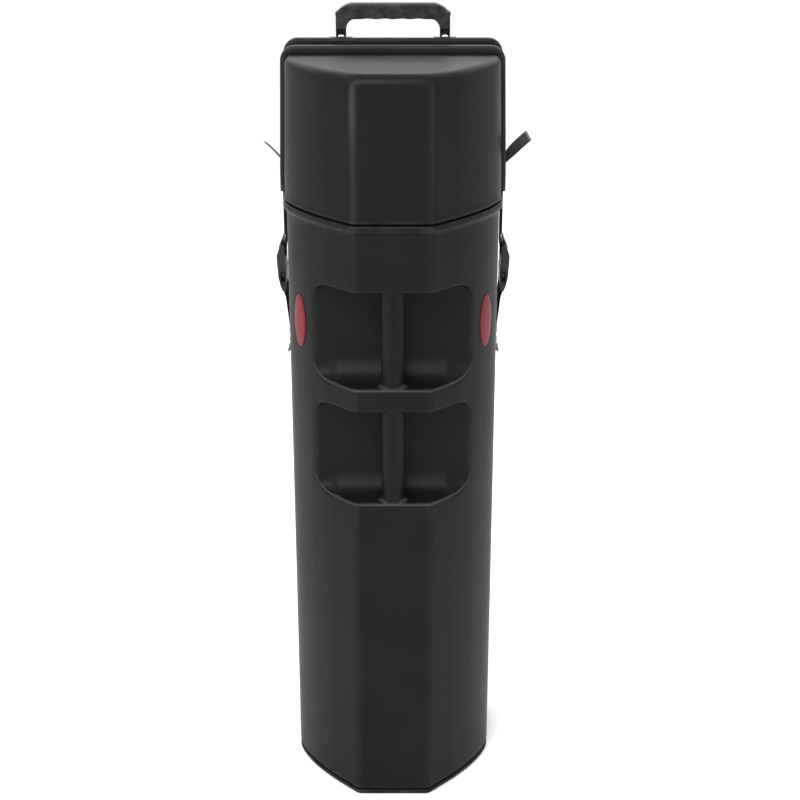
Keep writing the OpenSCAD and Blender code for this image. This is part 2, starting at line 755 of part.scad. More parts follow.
// ---------- wheels ----------
cheek_t = 4;
housing_low_z = 2;
head_r = 7;
head_sink = 2.4;
module wheel_housing(side) {
    black() on_side(side) difference() {
        yz_prism(
            softened([[pocket_y + 0.3, housing_low_z], [half_d - 12, housing_low_z], [half_d - 2, wheel_z],
                [half_d - 2, pocket_z - 0.3], [pocket_y + 0.3, pocket_z - 0.3]], [2, 10, 14, 3, 0], 5),
            wheel_x - housing_half_w, wheel_x + housing_half_w
        );
        block([wheel_x - housing_half_w + cheek_t, pocket_y + 0.3 + cheek_t, -5],
            [wheel_x + housing_half_w - cheek_t, 200, pocket_z - 0.3 - cheek_t]);
        x_rod(wheel_x - 30, wheel_x + 30, wheel_y, wheel_z, axle_d / 2 + fit_gap);
        for (s = [-1, 1]) {
            face = wheel_x + s * housing_half_w;
            x_rod(face - head_sink, face + head_sink, wheel_y, wheel_z, head_r + 0.3);
        }
        for (z = housing_rivet_z, dx = [-housing_rivet_dx, housing_rivet_dx])
            y_rod(pocket_y - 5, pocket_y + 10, wheel_x + dx, z, rivet_r + fit_gap);
    }
}
module wheel_housing_left() { wheel_housing(-1); }
module wheel_housing_right() { wheel_housing(1); }
module housing_rivets() {
    tail_t = 2.4;
    metal() at_housing_rivets() {
        translate([0, 0, -wall - tail_t]) cylinder(h = wall + cheek_t + 4, r = rivet_r);
        translate([0, 0, -wall - tail_t]) cylinder(h = tail_t - 0.1, r = rivet_tail_r);
        translate([0, 0, cheek_t + 0.4]) cylinder(h = 1.6, r1 = 4.6, r2 = 3.4);
    }
}
// The axle's head is on the inner cheek and its nut on the outer one
module axle(side) {
    head_x = wheel_x - housing_half_w + 0.1;
    metal() on_side(side) {
        x_rod(head_x, wheel_x + housing_half_w - 0.1, wheel_y, wheel_z, axle_d / 2);
        x_rod(head_x, wheel_x - housing_half_w + head_sink - fit_gap, wheel_y, wheel_z, head_r);
    }
}
module axle_left() { axle(-1); }
module axle_right() { axle(1); }
module axle_nuts() {
    face = wheel_x + housing_half_w;
    metal() both_sides() difference() {
        x_rod(face - head_sink + 0.05, face - 0.1, wheel_y, wheel_z, head_r);
        x_rod(face - 5, face + 1, wheel_y, wheel_z, axle_d / 2 + fit_gap);
    }
}
tyre_in_r = 21;
bearing_r = 11;
bearing_w = 7;
web_half_t = 4;
module turned_on_axle(side) {
    on_side(side) translate([wheel_x, wheel_y, wheel_z]) rotate([0, 90, 0])
        rotate_extrude($fn = 96) children();
}
module tyre(side) {
    half = wheel_w / 2;
    rim = wheel_d / 2;
    color(tyre_black) turned_on_axle(side) polygon(concat(
        [[tyre_in_r, -half], [rim - 8, -half]],
        bend([rim - 6, -half], [rim, -half], [rim, -half + 7], 5),
        bend([rim, half - 7], [rim, half], [rim - 6, half], 5),
        [[rim - 8, half], [tyre_in_r, half]]
    ));
}
module tyre_left() { tyre(-1); }
module tyre_right() { tyre(1); }
module hub(side) {
    half = wheel_w / 2 - 1;
    seat_r = bearing_r + fit_gap;
    boss_r = bearing_r + 3;
    rim_in_r = tyre_in_r - 2;
    rim_r = tyre_in_r - fit_gap;
    color(hub_grey) turned_on_axle(side) polygon([
        [seat_r, -half], [boss_r, -half], [boss_r, -web_half_t], [rim_in_r, -web_half_t],
        [rim_in_r, -half], [rim_r, -half], [rim_r, half], [rim_in_r, half],
        [rim_in_r, web_half_t], [boss_r, web_half_t], [boss_r, half], [seat_r, half],
        [seat_r, half - bearing_w], [bearing_r - 3, half - bearing_w],
        [bearing_r - 3, -half + bearing_w], [seat_r, -half + bearing_w]
    ]);
}
module hub_left() { hub(-1); }
module hub_right() { hub(1); }
module bearings(side) {
    half = wheel_w / 2 - 1;
    metal() for (s = [-1, 1]) turned_on_axle(side)
        translate([0, s * (half - bearing_w / 2)]) polygon([
            [axle_d / 2 + fit_gap, -bearing_w / 2 + 0.1], [bearing_r, -bearing_w / 2 + 0.1],
            [bearing_r, bearing_w / 2 - 0.1], [axle_d / 2 + fit_gap, bearing_w / 2 - 0.1]
        ]);
}
module bearings_left() { bearings(-1); }
module bearings_right() { bearings(1); }

body_shell();
grip_posts();
base_pad();
badge_left();
badge_right();
female_buckle_left();
female_buckle_right();
anchor_strap_left();
anchor_strap_right();
strap_rivets();
rivet_washers();
wheel_housing_left();
wheel_housing_right();
housing_rivets();
axle_left();
axle_right();
axle_nuts();
tyre_left();
tyre_right();
hub_left();
hub_right();
bearings_left();
bearings_right();
lid_shell();
lid_pad();
over_strap();
male_buckle_left();
male_buckle_right();
squeeze_arm_left_front();
squeeze_arm_left_rear();
squeeze_arm_right_front();
squeeze_arm_right_rear();
strap_keeper_left();
strap_keeper_right();
keeper_screws();
handle_bracket_left();
handle_bracket_right();
hinge_pin_left();
hinge_pin_right();
bracket_screws();
bracket_nuts();
carry_handle();
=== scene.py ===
"""The looks of the upright transport case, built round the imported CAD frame.

Metres, +Z up, -Y the front. Lengths named in millimetres are multiplied by MM where they are used.
"""
import math

import bmesh
import bpy
import numpy as np
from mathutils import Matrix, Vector

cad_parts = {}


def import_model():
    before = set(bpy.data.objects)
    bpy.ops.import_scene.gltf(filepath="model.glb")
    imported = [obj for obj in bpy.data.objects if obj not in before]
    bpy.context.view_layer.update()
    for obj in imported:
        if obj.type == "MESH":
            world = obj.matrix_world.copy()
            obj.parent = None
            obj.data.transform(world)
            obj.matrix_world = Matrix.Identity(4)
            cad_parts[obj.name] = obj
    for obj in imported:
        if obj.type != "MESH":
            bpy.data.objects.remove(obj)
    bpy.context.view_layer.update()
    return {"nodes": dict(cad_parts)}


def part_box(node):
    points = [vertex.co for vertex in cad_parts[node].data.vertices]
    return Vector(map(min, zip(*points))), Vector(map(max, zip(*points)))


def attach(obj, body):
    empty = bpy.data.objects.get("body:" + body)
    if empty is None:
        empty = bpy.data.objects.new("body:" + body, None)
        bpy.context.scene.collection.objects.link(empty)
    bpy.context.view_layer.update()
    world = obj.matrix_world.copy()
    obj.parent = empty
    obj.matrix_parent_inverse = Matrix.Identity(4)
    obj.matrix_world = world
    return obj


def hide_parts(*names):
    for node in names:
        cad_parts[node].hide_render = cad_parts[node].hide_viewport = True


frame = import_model()
nodes = frame["nodes"]
MM = 0.001

# ---------------------------------------------------------------- sizes
BEAD_OUT = 5 * MM
FRONT_FLAT = 54 * MM
FACET = np.array([98, 43.5]) * MM
FRONT_EDGE_R = 14 * MM
BACK_R = 28 * MM
SIDE_PULL = np.array([-28, 8]) * MM
WALL = 5 * MM
NECK_TALL = 60 * MM
shell_low, shell_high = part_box("body_shell")
lid_low, lid_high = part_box("lid_shell")
housing_low, housing_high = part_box("wheel_housing_right")
plate_low, plate_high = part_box("handle_bracket_right")
HALF_W = shell_high.x - BEAD_OUT
HALF_D = (shell_high.y - shell_low.y) / 2 - BEAD_OUT
RIM_Z = shell_high.z - NECK_TALL
RIDGE_OUT, RIDGE_UP, RIDGE_T = 8 * MM, 11 * MM, 14 * MM
RIDGE_LOW_Z = RIM_Z + 5 * MM
HINGE_Y = 119 * MM
SCREW_IN, SCREW_HOLE_R = 4.5 * MM, 2.1 * MM
LID_OUT = 2 * MM
LID_Z = lid_low.z
LID_TOP_Z = lid_high.z - RIDGE_UP
LID_EDGE_R, LID_SIDE_R = 18 * MM, 9 * MM
LID_DRAFT = 4.5 * MM
LEAN_Z = LID_Z + 31.5 * MM
LID_SHOULDER = 22 * MM
RIDGE_FRONT_YS = (26.5 * MM, 92.5 * MM)
GRIP_BACK_Y = -HALF_D + 59 * MM
GRIP_HALF_W = 112 * MM
GRIP_LOW_R, GRIP_TOP_R = 27 * MM, 26 * MM
GRIPS = ((492 * MM, 633 * MM), (666 * MM, 807 * MM))
POST_R = 16 * MM
POST_Y = -HALF_D + 3 * MM + POST_R
# Painted highlights on the body stay in front of this Y, so the back gets none.
PAINTED_HIGHLIGHT_IN_FRONT_OF_Y = -0.03


# ---------------------------------------------------------------- mesh helpers
def new_object(name, vertices, faces):
    """A mesh object from points and faces."""
    mesh = bpy.data.meshes.new(name)
    mesh.from_pydata([tuple(v) for v in vertices], [], [tuple(f) for f in faces])
    mesh.update()
    obj = bpy.data.objects.new(name, mesh)
    bpy.context.scene.collection.objects.link(obj)
    return obj


def loft(rings, cap_start=True, cap_end=True):
    """Points and faces of a skin over closed rings of equally many points."""
    count = len(rings[0])
    points = [p for ring in rings for p in ring]
    faces = []
    for r in range(len(rings) - 1):
        for i in range(count):
            j = (i + 1) % count
            a, b = r * count, (r + 1) * count
            faces.append([a + i, a + j, b + j, b + i])
    if cap_start:
        faces.append(list(range(count))[::-1])
    if cap_end:
        faces.append([(len(rings) - 1) * count + i for i in range(count)])
    return points, faces


def paint_highlight(obj, value):
    """Stores how much painted highlight each point gets, from 0 to 1. value takes the points' coordinates."""
    points = np.empty(len(obj.data.vertices) * 3, np.float32)
    obj.data.vertices.foreach_get("co", points)
    attribute = obj.data.attributes.new("painted_highlight", "FLOAT", "POINT")
    attribute.data.foreach_set("value", np.asarray(value(points.reshape(-1, 3)), np.float32))
    return obj


def smooth(obj, angle=35):
    """Smooth shading, with edges sharper than the angle kept sharp."""
    mesh = obj.data
    mesh.shade_smooth()
    mesh.set_sharp_from_angle(angle=math.radians(angle))
    return obj


def apply_modifiers(obj):
    """Replaces the mesh by what its modifiers make of it."""
    depsgraph = bpy.context.evaluated_depsgraph_get()
    mesh = bpy.data.meshes.new_from_object(obj.evaluated_get(depsgraph))
    obj.modifiers.clear()
    obj.data = mesh
    return obj


def cut(obj, cutter, operation="DIFFERENCE"):
    """Boolean of obj with cutter, which is removed."""
    modifier = obj.modifiers.new("cut", "BOOLEAN")
    modifier.operation = operation
    modifier.object = cutter
    modifier.solver = "MANIFOLD"
    apply_modifiers(obj)
    bpy.data.objects.remove(cutter)
    return obj


def turned_out(obj, merge=None):
    """Makes every face of a closed mesh look outwards, once points closer than merge are one."""
    bm = bmesh.new()
    bm.from_mesh(obj.data)
    if merge:
        bmesh.ops.remove_doubles(bm, verts=bm.verts, dist=merge)
    bmesh.ops.recalc_face_normals(bm, faces=bm.faces)
    bm.to_mesh(obj.data)
    bm.free()
    return obj


def rounded_box(name, low, high, radius):
    """A box with rounded edges, or sharp ones where radius is 0."""
    bm = bmesh.new()
    bmesh.ops.create_cube(bm, size=1)
    for v in bm.verts:
        v.co = Vector(low[i] if v.co[i] < 0 else high[i] for i in range(3))
    if radius:
        bmesh.ops.bevel(bm, geom=bm.edges[:], offset=radius, segments=3, profile=0.5, affect="EDGES")
    mesh = bpy.data.meshes.new(name)
    bm.to_mesh(mesh)
    bm.free()
    obj = bpy.data.objects.new(name, mesh)
    bpy.context.scene.collection.objects.link(obj)
    return obj


def place(obj, body, slot, material, *replaced):
    """Gives a piece its body and its material, and hides the CAD nodes that it stands for. slot is not used."""
    obj.data.materials.clear()
    obj.data.materials.append(material)
    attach(obj, body)
    if replaced:
        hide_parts(*replaced)
    return obj


# ---------------------------------------------------------------- plan outline
def arc(centre, radius, start, end, count):
    """Points along an arc between two angles in degrees."""
    angles = np.radians(np.linspace(start, end, count + 1))
    return np.array(centre) + radius * np.column_stack([np.cos(angles), np.sin(angles)])


def line(a, b, count):
    """Points along a straight line, with both its ends."""
    t = np.linspace(0, 1, count + 1)[:, None]
    return np.array(a) * (1 - t) + np.array(b) * t


def quadratic(a, b, c, t):
    """Points of a quadratic curve from a to c, pulled towards b."""
    t = np.reshape(t, (-1, 1))
    return (1 - t) ** 2 * np.array(a) + 2 * t * (1 - t) * np.array(b) + t * t * np.array(c)


def half_outline():
    """Points from the middle of the front, round the right side, to the middle of the back."""
    flat = np.array([FRONT_FLAT, -HALF_D])
    facet = np.array([FACET[0], -HALF_D + FACET[1]])
    along = (facet - flat) / np.linalg.norm(facet - flat)
    turn = math.atan2(along[1], along[0])
    reach = FRONT_EDGE_R * math.tan(turn / 2)
    corner_centre = [FRONT_FLAT - reach, -HALF_D + FRONT_EDGE_R]
    corner = arc(corner_centre, FRONT_EDGE_R, -90, -90 + math.degrees(turn), 10)
    pull = np.array([HALF_W, SIDE_PULL[0]])
    side = np.array([HALF_W, SIDE_PULL[1]])
    curve = quadratic(facet, pull, side, np.linspace(0.2, 1, 24))
    # The curve leaves the facet a little steeper than the facet runs, so their meeting is eased
    before = facet - 16 * MM * along
    easing = quadratic(before, facet, curve[0], np.linspace(0, 1, 13))
    back = [HALF_W, HALF_D - BACK_R]
    pieces = [
        line([0, -HALF_D], corner[0], 13)[:-1],
        corner[:-1],
        line(corner[-1], before, 8)[:-1],
        easing[:-1],
        curve[:-1],
        line(side, back, 12)[:-1],
        arc([HALF_W - BACK_R, HALF_D - BACK_R], BACK_R, 0, 90, 12)[:-1],
        line([HALF_W - BACK_R, HALF_D], [0, HALF_D], 12),
    ]
    return np.vstack(pieces)


HALF = half_outline()
OUTLINE = np.vstack([HALF, (HALF * [-1, 1])[-2:0:-1]])


def outward(points):
    """Unit normals of a closed counter-clockwise outline."""
    along = np.roll(points, -1, 0) - np.roll(points, 1, 0)
    along /= np.linalg.norm(along, axis=1)[:, None]
    return np.column_stack([along[:, 1], -along[:, 0]])


NORMALS = outward(OUTLINE)


def plan_ring(inset, z):
    """The outline moved in by inset, at height z. Both may differ from point to point."""
    plan = OUTLINE - NORMALS * np.reshape(inset, (-1, 1))
    return np.column_stack([plan, np.broadcast_to(z, len(plan))])


# ---------------------------------------------------------------- body shell
def ease(x, low, high):
    """0 up to low, 1 from high on, and a smooth step between them."""
    t = np.clip((np.asarray(x, float) - low) / (high - low), 0, 1)
    return t * t * (3 - 2 * t)


def grip_rows(z0, z1, inset, lip, sweep, ceiling):
    """Rings from below one grip recess to above it, which follow its edge and sink to its back wall.

    lip is the radius of the outer edge. sweep is the height of the ramp from the floor to the back wall,
    which it meets at a crease, and ceiling is the same for the upper bend.
    """
    plan = OUTLINE - NORMALS * inset
    x, y = np.abs(plan[:, 0]), plan[:, 1]
    half_w = GRIP_HALF_W + inset
    back = GRIP_BACK_Y + inset
    low_r, top_r = GRIP_LOW_R + inset, GRIP_TOP_R + inset
    raw = np.where(y < 0, back - y, -1)
    soft, fan_out = 1.6 * MM, 26 * MM
    depth = (raw + np.sqrt(raw * raw + soft * soft)) / 2
    depth = np.where((y < 0) & (x < half_w + 8 * MM), depth, 0)
    depth *= 1 - ease(x, half_w - 1 * MM, half_w + 4 * MM)

    def edge(radius):
        """How far the recess's edge is pulled in by its corner."""
        over = np.clip(x - (half_w - radius), 0, 0.97 * radius)
        return radius - np.sqrt(radius * radius - over * over)

    low_z, high_z = z0 - inset + edge(low_r), z1 + inset - edge(top_r)

    def profile(border, up, bend):
        """Rings from the face to the back wall, at one border. up is 1 at the floor and -1 at the ceiling."""
        size = np.clip(depth / (lip + bend + 1 * MM), 0, 1)
        made = []
        for k in range(6):
            a = math.radians(90 * k / 5)
            made.append((-up * lip * (1 - math.sin(a)), lip * (1 - math.cos(a)), "size"))
        for k in range(1, 4):
            made.append((0.0, k / 4, "run"))
        last = math.radians(58)
        for k in range(9):
            a = last * k / 8
            made.append((up * bend * (1 - math.cos(a)) / (1 - math.cos(last)),
                         bend * (1 - math.sin(a) / math.sin(last)), "back"))
        for k, (dz, d, kind) in enumerate(made):
            if kind == "size":
                into = d * size
            elif kind == "run":
                into = lip * size + d * (depth - (lip + bend) * size)
            else:
                into = depth - d * size
            fan = (k / (len(made) - 1) - 0.5) * fan_out * up
            made[k] = (border + dz * size + fan * (1 - size), np.maximum(into, 0))
        return made if up > 0 else made[::-1]

    floor_rows, roof_rows = profile(low_z, 1, sweep), profile(high_z, -1, ceiling)
    first, last = floor_rows[-1][0], roof_rows[0][0]
    rows = floor_rows + [(first + (last - first) * k / 9, depth) for k in range(1, 9)] + roof_rows
    rings = []
    for z, into in rows:
        ring = plan_ring(inset, z)
        ring[:, 1] += into
        rings.append(ring)
    return rings


def spread(a, b, count):
    """Rings evenly between two rings, without the two."""
    return [a + (b - a) * k / count for k in range(1, count)]


def wall_rings(inset, low_rows, high_rows, lip, sweep, ceiling):
    """Rings of one skin of the body: the rows below the grips, the two grips, and the rows above them."""
    low = [plan_ring(i, z) for z, i in low_rows]
    high = [plan_ring(i, z) for z, i in high_rows]
    rings = list(low)
    for z0, z1 in GRIPS:
        rows = grip_rows(z0, z1, inset, lip, sweep, ceiling)
        rings += spread(rings[-1], rows[0], 12 if z0 == GRIPS[0][0] else 4)
        rings += rows
    rings += spread(rings[-1], high[0], 5) + high
    return rings


def mm_rows(*rows):
    """Rows of height and inset, from millimetres to metres."""
    return [(z * MM, inset * MM) for z, inset in rows]


def post_rings(z0, z1):
    """A post that flares where it meets the floor and the ceiling of its recess, behind the recess's lip."""
    flare, front = 9 * MM, -HALF_D + 1.2 * MM
    rings = []
    for low, up in ((z0, 1), (z1, -1)):
        part = []
        for k in range(9):
            rise = flare * k / 8
            extra = flare * (1 - math.sqrt(1 - (1 - k / 8) ** 2)) * 0.8
            circle = arc([0, POST_Y], POST_R + extra, 0, 352.5, 47)
            face = front + 2.2 * MM * min(1, rise / (3 * MM)) * (circle[:, 1] < POST_Y)
            circle[:, 1] = np.maximum(circle[:, 1], face)
            part.append(np.column_stack([circle, np.full(48, low + up * rise)]))
        part.insert(0, part[0] - [0, 0, up * 2.4 * MM])
        rings += part if up > 0 else part[::-1]
    return rings


def facet_edge_highlight(points):
    """A painted highlight along the two upright edges between the front face and its facets: 1 on the left
    edge, 0.35 on the right, fading to 0 beside them.
    """
    x, y = np.abs(points[:, 0]), points[:, 1]
    away = np.hypot(x - (FRONT_FLAT - 1.5 * MM), y + HALF_D)
    return np.where(points[:, 0] < 0, 1.0, 0.35) * (1 - ease(away, 1 * MM, 7 * MM))


def depth_below_skin(points):
    """How far each point lies from the plan outline."""
    closed = np.vstack([OUTLINE, OUTLINE[:1]])
    start, along = closed[:-1], np.diff(closed, axis=0)
    size = (along ** 2).sum(1)
    made = []
    for point in points[:, :2]:
        t = np.clip(((point - start) * along).sum(1) / size, 0, 1)
        made.append(np.linalg.norm(start + along * t[:, None] - point, axis=1).min())
    return np.array(made)


def body_highlight_paint(points):
    """Painted highlights on the lower lips of the grips, on the feet of the posts, and faintly on the upright
    front edges.
    """
    x, z = np.abs(points[:, 0]), points[:, 2]
    total = 0.1 * facet_edge_highlight(points)
    skin = 1 - ease(depth_below_skin(points), 2.2 * MM, 4.5 * MM)
    # A painted highlight line along each grip's lower lip, on the front only, and one round each post's foot.
    for z0, _ in GRIPS:
        over = np.clip(x - (GRIP_HALF_W - GRIP_LOW_R), 0, 0.97 * GRIP_LOW_R)
        lip_z = z0 + GRIP_LOW_R - np.sqrt(GRIP_LOW_R ** 2 - over ** 2)
        near = 1 - ease(np.abs(z - lip_z + 0.6 * MM), 0.3 * MM, 2.2 * MM)
        ends = 1 - ease(x, GRIP_HALF_W - 3 * MM, GRIP_HALF_W + 1 * MM)
        total = total + 0.9 * near * ends * skin * (points[:, 1] < PAINTED_HIGHLIGHT_IN_FRONT_OF_Y)
        flare = (1 - ease(np.abs(z - z0 - 2.4 * MM), 0.6 * MM, 2.2 * MM)) * ease(x, 7 * MM, 11 * MM)
        total = total + 0.8 * flare * (x < 26 * MM) * (points[:, 1] < POST_Y)
    return np.minimum(total, 1)


def body_shell():
    """The moulded body: an outer skin with foot rim, grips and bead, and an inner skin one wall inside it."""
    foot = mm_rows((0.0, 5.0), (0.0, 3.2), (0.5, 1.4), (1.6, 0.5), (3.2, 0.1), (5.2, 0.1), (6.0, 0.9),
                   (6.5, 2.6), (7.2, 3.8), (8.4, 4.2), (9.6, 3.8), (10.5, 2.2), (11.2, 0.8), (12.8, 0.15),
                   (15.0, 0.0), (24.0, 0.0))
    rim = RIM_Z / MM
    bead = mm_rows((rim - 30, 0), (rim - 18, 0), (rim - 15.2, -0.2), (rim - 13.4, -0.9), (rim - 12.4, -2.4),
                   (rim - 11.2, -3.9), (rim - 9.0, -4.8), (rim - 6.0, -5), (rim - 4.4, -4.8), (rim - 3.2, -4.3),
                   (rim - 2.4, -3.5), (rim - 2.0, -2.6), (rim - 1.9, -1.4), (rim - 2.0, 1.4), (rim - 1.4, 2.8),
                   (rim + 0.4, 3.4), (rim + 20, 3.4), (rim + 40, 3.4), (rim + 56.5, 3.5), (rim + 58.8, 4.2),
                   (rim + 59.8, 5.2), (rim + 60, 6.0))
    outer = wall_rings(0, foot, bead, lip=3 * MM, sweep=32 * MM, ceiling=8 * MM)
    mouth = mm_rows((rim - 26, 5), (rim - 18, 5), (rim - 12, 6.2), (rim - 8, 8.0), (rim - 3, 8.6),
                    (rim + 25, 8.6), (rim + 56.5, 8.5), (rim + 58.8, 7.8), (rim + 59.8, 6.8))
    floor = mm_rows((12, 9), (12.6, 6.6), (14.5, 5.3), (18, 5), (26, 5))
    inner = wall_rings(WALL, floor, mouth, lip=1.2 * MM, sweep=27 * MM, ceiling=4 * MM)
    points, faces = loft(outer + inner[::-1])
    obj = new_object("body_case_moulding", points, faces)
    for z0, z1 in GRIPS:
        cut(obj, new_object("post", *loft(post_rings(z0, z1))), "UNION")
    gap, far = 0.3 * MM, 3 * MM
    for side in (-1, 1):
        near_x, far_x = sorted((side * housing_low.x, side * housing_high.x))
        low = Vector((near_x - gap, housing_low.y - gap, -far))
        high = Vector((far_x + gap, HALF_D + far, housing_high.z + gap))
        grow = Vector((WALL, WALL, WALL))
        inside = Vector((0, -far - 1.5 * MM, 0))
        wall_low = Vector((low.x - WALL, low.y - WALL, 1 * MM))
        cut(obj, rounded_box("pocket_wall", wall_low, high + grow + inside - Vector((0, WALL, 0)), 0), "UNION")
        cut(obj, rounded_box("pocket", low, high, 2 * MM))
    # The body's grip lips, post feet and front edges get painted highlights.
    return smooth(paint_highlight(obj, body_highlight_paint), 38)


# ---------------------------------------------------------------- lid
def softened_outline(steps):
    """The outline with its corners eased by averaging each point with its neighbours."""
    lengths = np.linalg.norm(np.roll(OUTLINE, -1, 0) - OUTLINE, axis=1)
    along = np.concatenate([[0], np.cumsum(lengths)])
    closed = np.vstack([OUTLINE, OUTLINE[:1]])
    even = np.linspace(0, along[-1], 601)[:-1]
    points = np.column_stack([np.interp(even, along, closed[:, i]) for i in (0, 1)])
    for _ in range(steps):
        points = (np.roll(points, 1, 0) + points + np.roll(points, -1, 0)) / 3
    points = np.vstack([points, points[:1]])
    grid = np.append(even, along[-1])
    return np.column_stack([np.interp(along[:-1], grid, points[:, i]) for i in (0, 1)])


SOFT_OUTLINE = softened_outline(260)


def leant(x, z):
    """X of the lid's sides, which lean in above the skirt."""
    rise = np.maximum(z - LEAN_Z, 0) / (LID_TOP_Z - LEAN_Z)
    return x - np.sign(x) * LID_DRAFT * rise * ease(np.abs(x), 0.09, 0.135)


def lid_ring(inset, z, softness=0.0):
    """As plan_ring, leaning in at the sides, with the outline's corners eased by softness from 0 to 1."""
    ring = plan_ring(inset, z)
    ring[:, :2] += (SOFT_OUTLINE - OUTLINE) * softness * ease(-OUTLINE[:, 1:], 0.0, 0.05)
    ring[:, 0] = leant(ring[:, 0], ring[:, 2])
    return ring


def lid_highlight_paint(points):
    """Painted highlights on the upright front edges, brightest just under the rounded top, and painted light on
    the sides and tops of the two ridge bars.
    """
    x, z = points[:, 0], points[:, 2]
    edges = facet_edge_highlight(points + [0, LID_OUT, 0]) * (1 - ease(z, 1.086, 1.094))
    beyond = np.abs(x) - np.abs(leant(np.full(len(x), HALF_W + LID_OUT), z))
    # Painted light on the ridge bars' sides beyond the lid and on their tops.
    ridge_painted_light = np.maximum(ease(beyond, 0, 2 * MM), ease(z - LID_TOP_Z, 0.5 * MM, 3 * MM))
    return np.maximum(edges * (0.3 + 0.35 * ease(z, 0.98, 1.075)), 0.3 * ridge_painted_light)


def lid_shell():
    """The lid: a skirt, a top edge over which its facets fade out, and an inner skin inside it."""
    radius = LID_EDGE_R - 2 * MM * ease(-OUTLINE[:, 1], 0.0, 0.08)
    radius += (LID_SIDE_R - radius) * ease(np.abs(NORMALS[:, 0]), 0.72, 0.97)
    top = LID_TOP_Z
    hem = ((1.0, 2.4), (0.4, 1.6), (0.3, 0.8), (0.9, -0.1), (1.9, -0.7), (3.4, -1.0), (6.0, -0.6), (9.5, -0.1),
           (14, 0), (22, 0))
    outer = [plan_ring(i * MM - LID_OUT, LID_Z + z * MM) for z, i in hem]
    skirt, shoulder = lid_ring(-LID_OUT, LEAN_Z), lid_ring(-LID_OUT, top - radius - LID_SHOULDER)
    outer += [skirt] + spread(skirt, shoulder, 6) + [shoulder]
    for k in range(1, 6):
        outer.append(lid_ring(-LID_OUT, top - radius - LID_SHOULDER * (1 - k / 6), 0.35 * (k / 6) ** 2))
    for k in range(0, 11):
        a = math.radians(9 * k)
        inset, z = radius * (1 - math.cos(a)) - LID_OUT, top - radius * (1 - math.sin(a))
        outer.append(lid_ring(inset, z, 0.35 + 0.065 * k))
    rim = outer[-1]
    centre = np.array([0, 0.02, top])
    outer += [rim + (centre - rim) * t for t in (0.06, 0.14, 0.3, 0.5, 0.7, 0.88)]
    inner_in, crown = 2 * MM, 4 * MM
    inner_top = top - crown
    inner = [plan_ring(inner_in - 0.6 * MM, LID_Z + 1.2 * MM), plan_ring(inner_in, LID_Z + 3 * MM)]
    skirt, shoulder = lid_ring(inner_in, LEAN_Z), lid_ring(inner_in, inner_top - radius + crown)
    inner += [skirt] + spread(skirt, shoulder, 6) + [shoulder]
    small = radius - crown
    for k in range(1, 7):
        a = math.radians(15 * k)
        inner.append(lid_ring(inner_in + small * (1 - math.cos(a)), inner_top - small * (1 - math.sin(a))))
    obj = new_object("lid_moulding", *loft(inner[::-1] + outer))
    for y in RIDGE_FRONT_YS:
        cut(obj, ridge(y), "UNION")
    for side in (-1, 1):
        xs = sorted((side * (plate_low.x - 0.5 * MM), side * (plate_high.x + 0.5 * MM)))
        low = (xs[0], plate_low.y - 0.5 * MM, plate_low.z - 0.05 * MM)
        cut(obj, rounded_box("seat", low, (xs[1], HALF_D + 10 * MM, top + 20 * MM), 1 * MM))
        for x in (plate_low.x + SCREW_IN, plate_high.x - SCREW_IN):
            hole = arc([side * x, HINGE_Y], SCREW_HOLE_R, 0, 345, 23)
            rings = [np.column_stack([hole, np.full(24, z)]) for z in (top - 12 * MM, top)]
            cut(obj, new_object("hole", *loft(rings)))
    # The lid's front edges and ridge bars get painted highlights.
    return smooth(paint_highlight(obj, lid_highlight_paint), 38)


def ridge_path(half_w, top, radius):
    """From the lower right end, over the top, to the lower left end, in X and Z."""
    right = np.vstack([
        line([half_w, RIDGE_LOW_Z], [half_w, top - radius], 16)[:-1],
        arc([half_w - radius, top - radius], radius, 0, 90, 14)[:-1],
        line([half_w - radius, top], [0, top], 16),
    ])
    right[:, 0] = leant(right[:, 0], right[:, 1])
    return np.vstack([right, (right * [-1, 1])[-2::-1]])


def ridge(y0):
    """A rounded bar that runs up one side of the lid, over its top and down the other side."""
    outer = ridge_path(HALF_W + LID_OUT + RIDGE_OUT, LID_TOP_Z + RIDGE_UP, 20 * MM)
    inner = ridge_path(HALF_W + LID_OUT - 2 * MM, LID_TOP_Z - 2 * MM, LID_SIDE_R - 2 * MM)
    edge = 4.2 * MM
    section = [(0.0, None), (0.0, edge)]
    for k in range(1, 7):
        a = math.radians(15 * k)
        section.append((edge * (1 - math.cos(a)), edge * (1 - math.sin(a))))
    rings = []
    for o, i in zip(outer, inner):
        deep = np.linalg.norm(i - o)
        into = (i - o) / deep
        half = [(y, deep if d is None else d) for y, d in section]
        ring = [(y0 + y, d) for y, d in half] + [(y0 + RIDGE_T - y, d) for y, d in half[::-1]]
        spots = [(y, o + into * d) for y, d in ring]
        rings.append([(spot[0], y, spot[1]) for y, spot in spots])
    return turned_out(new_object("ridge", *loft(rings)))


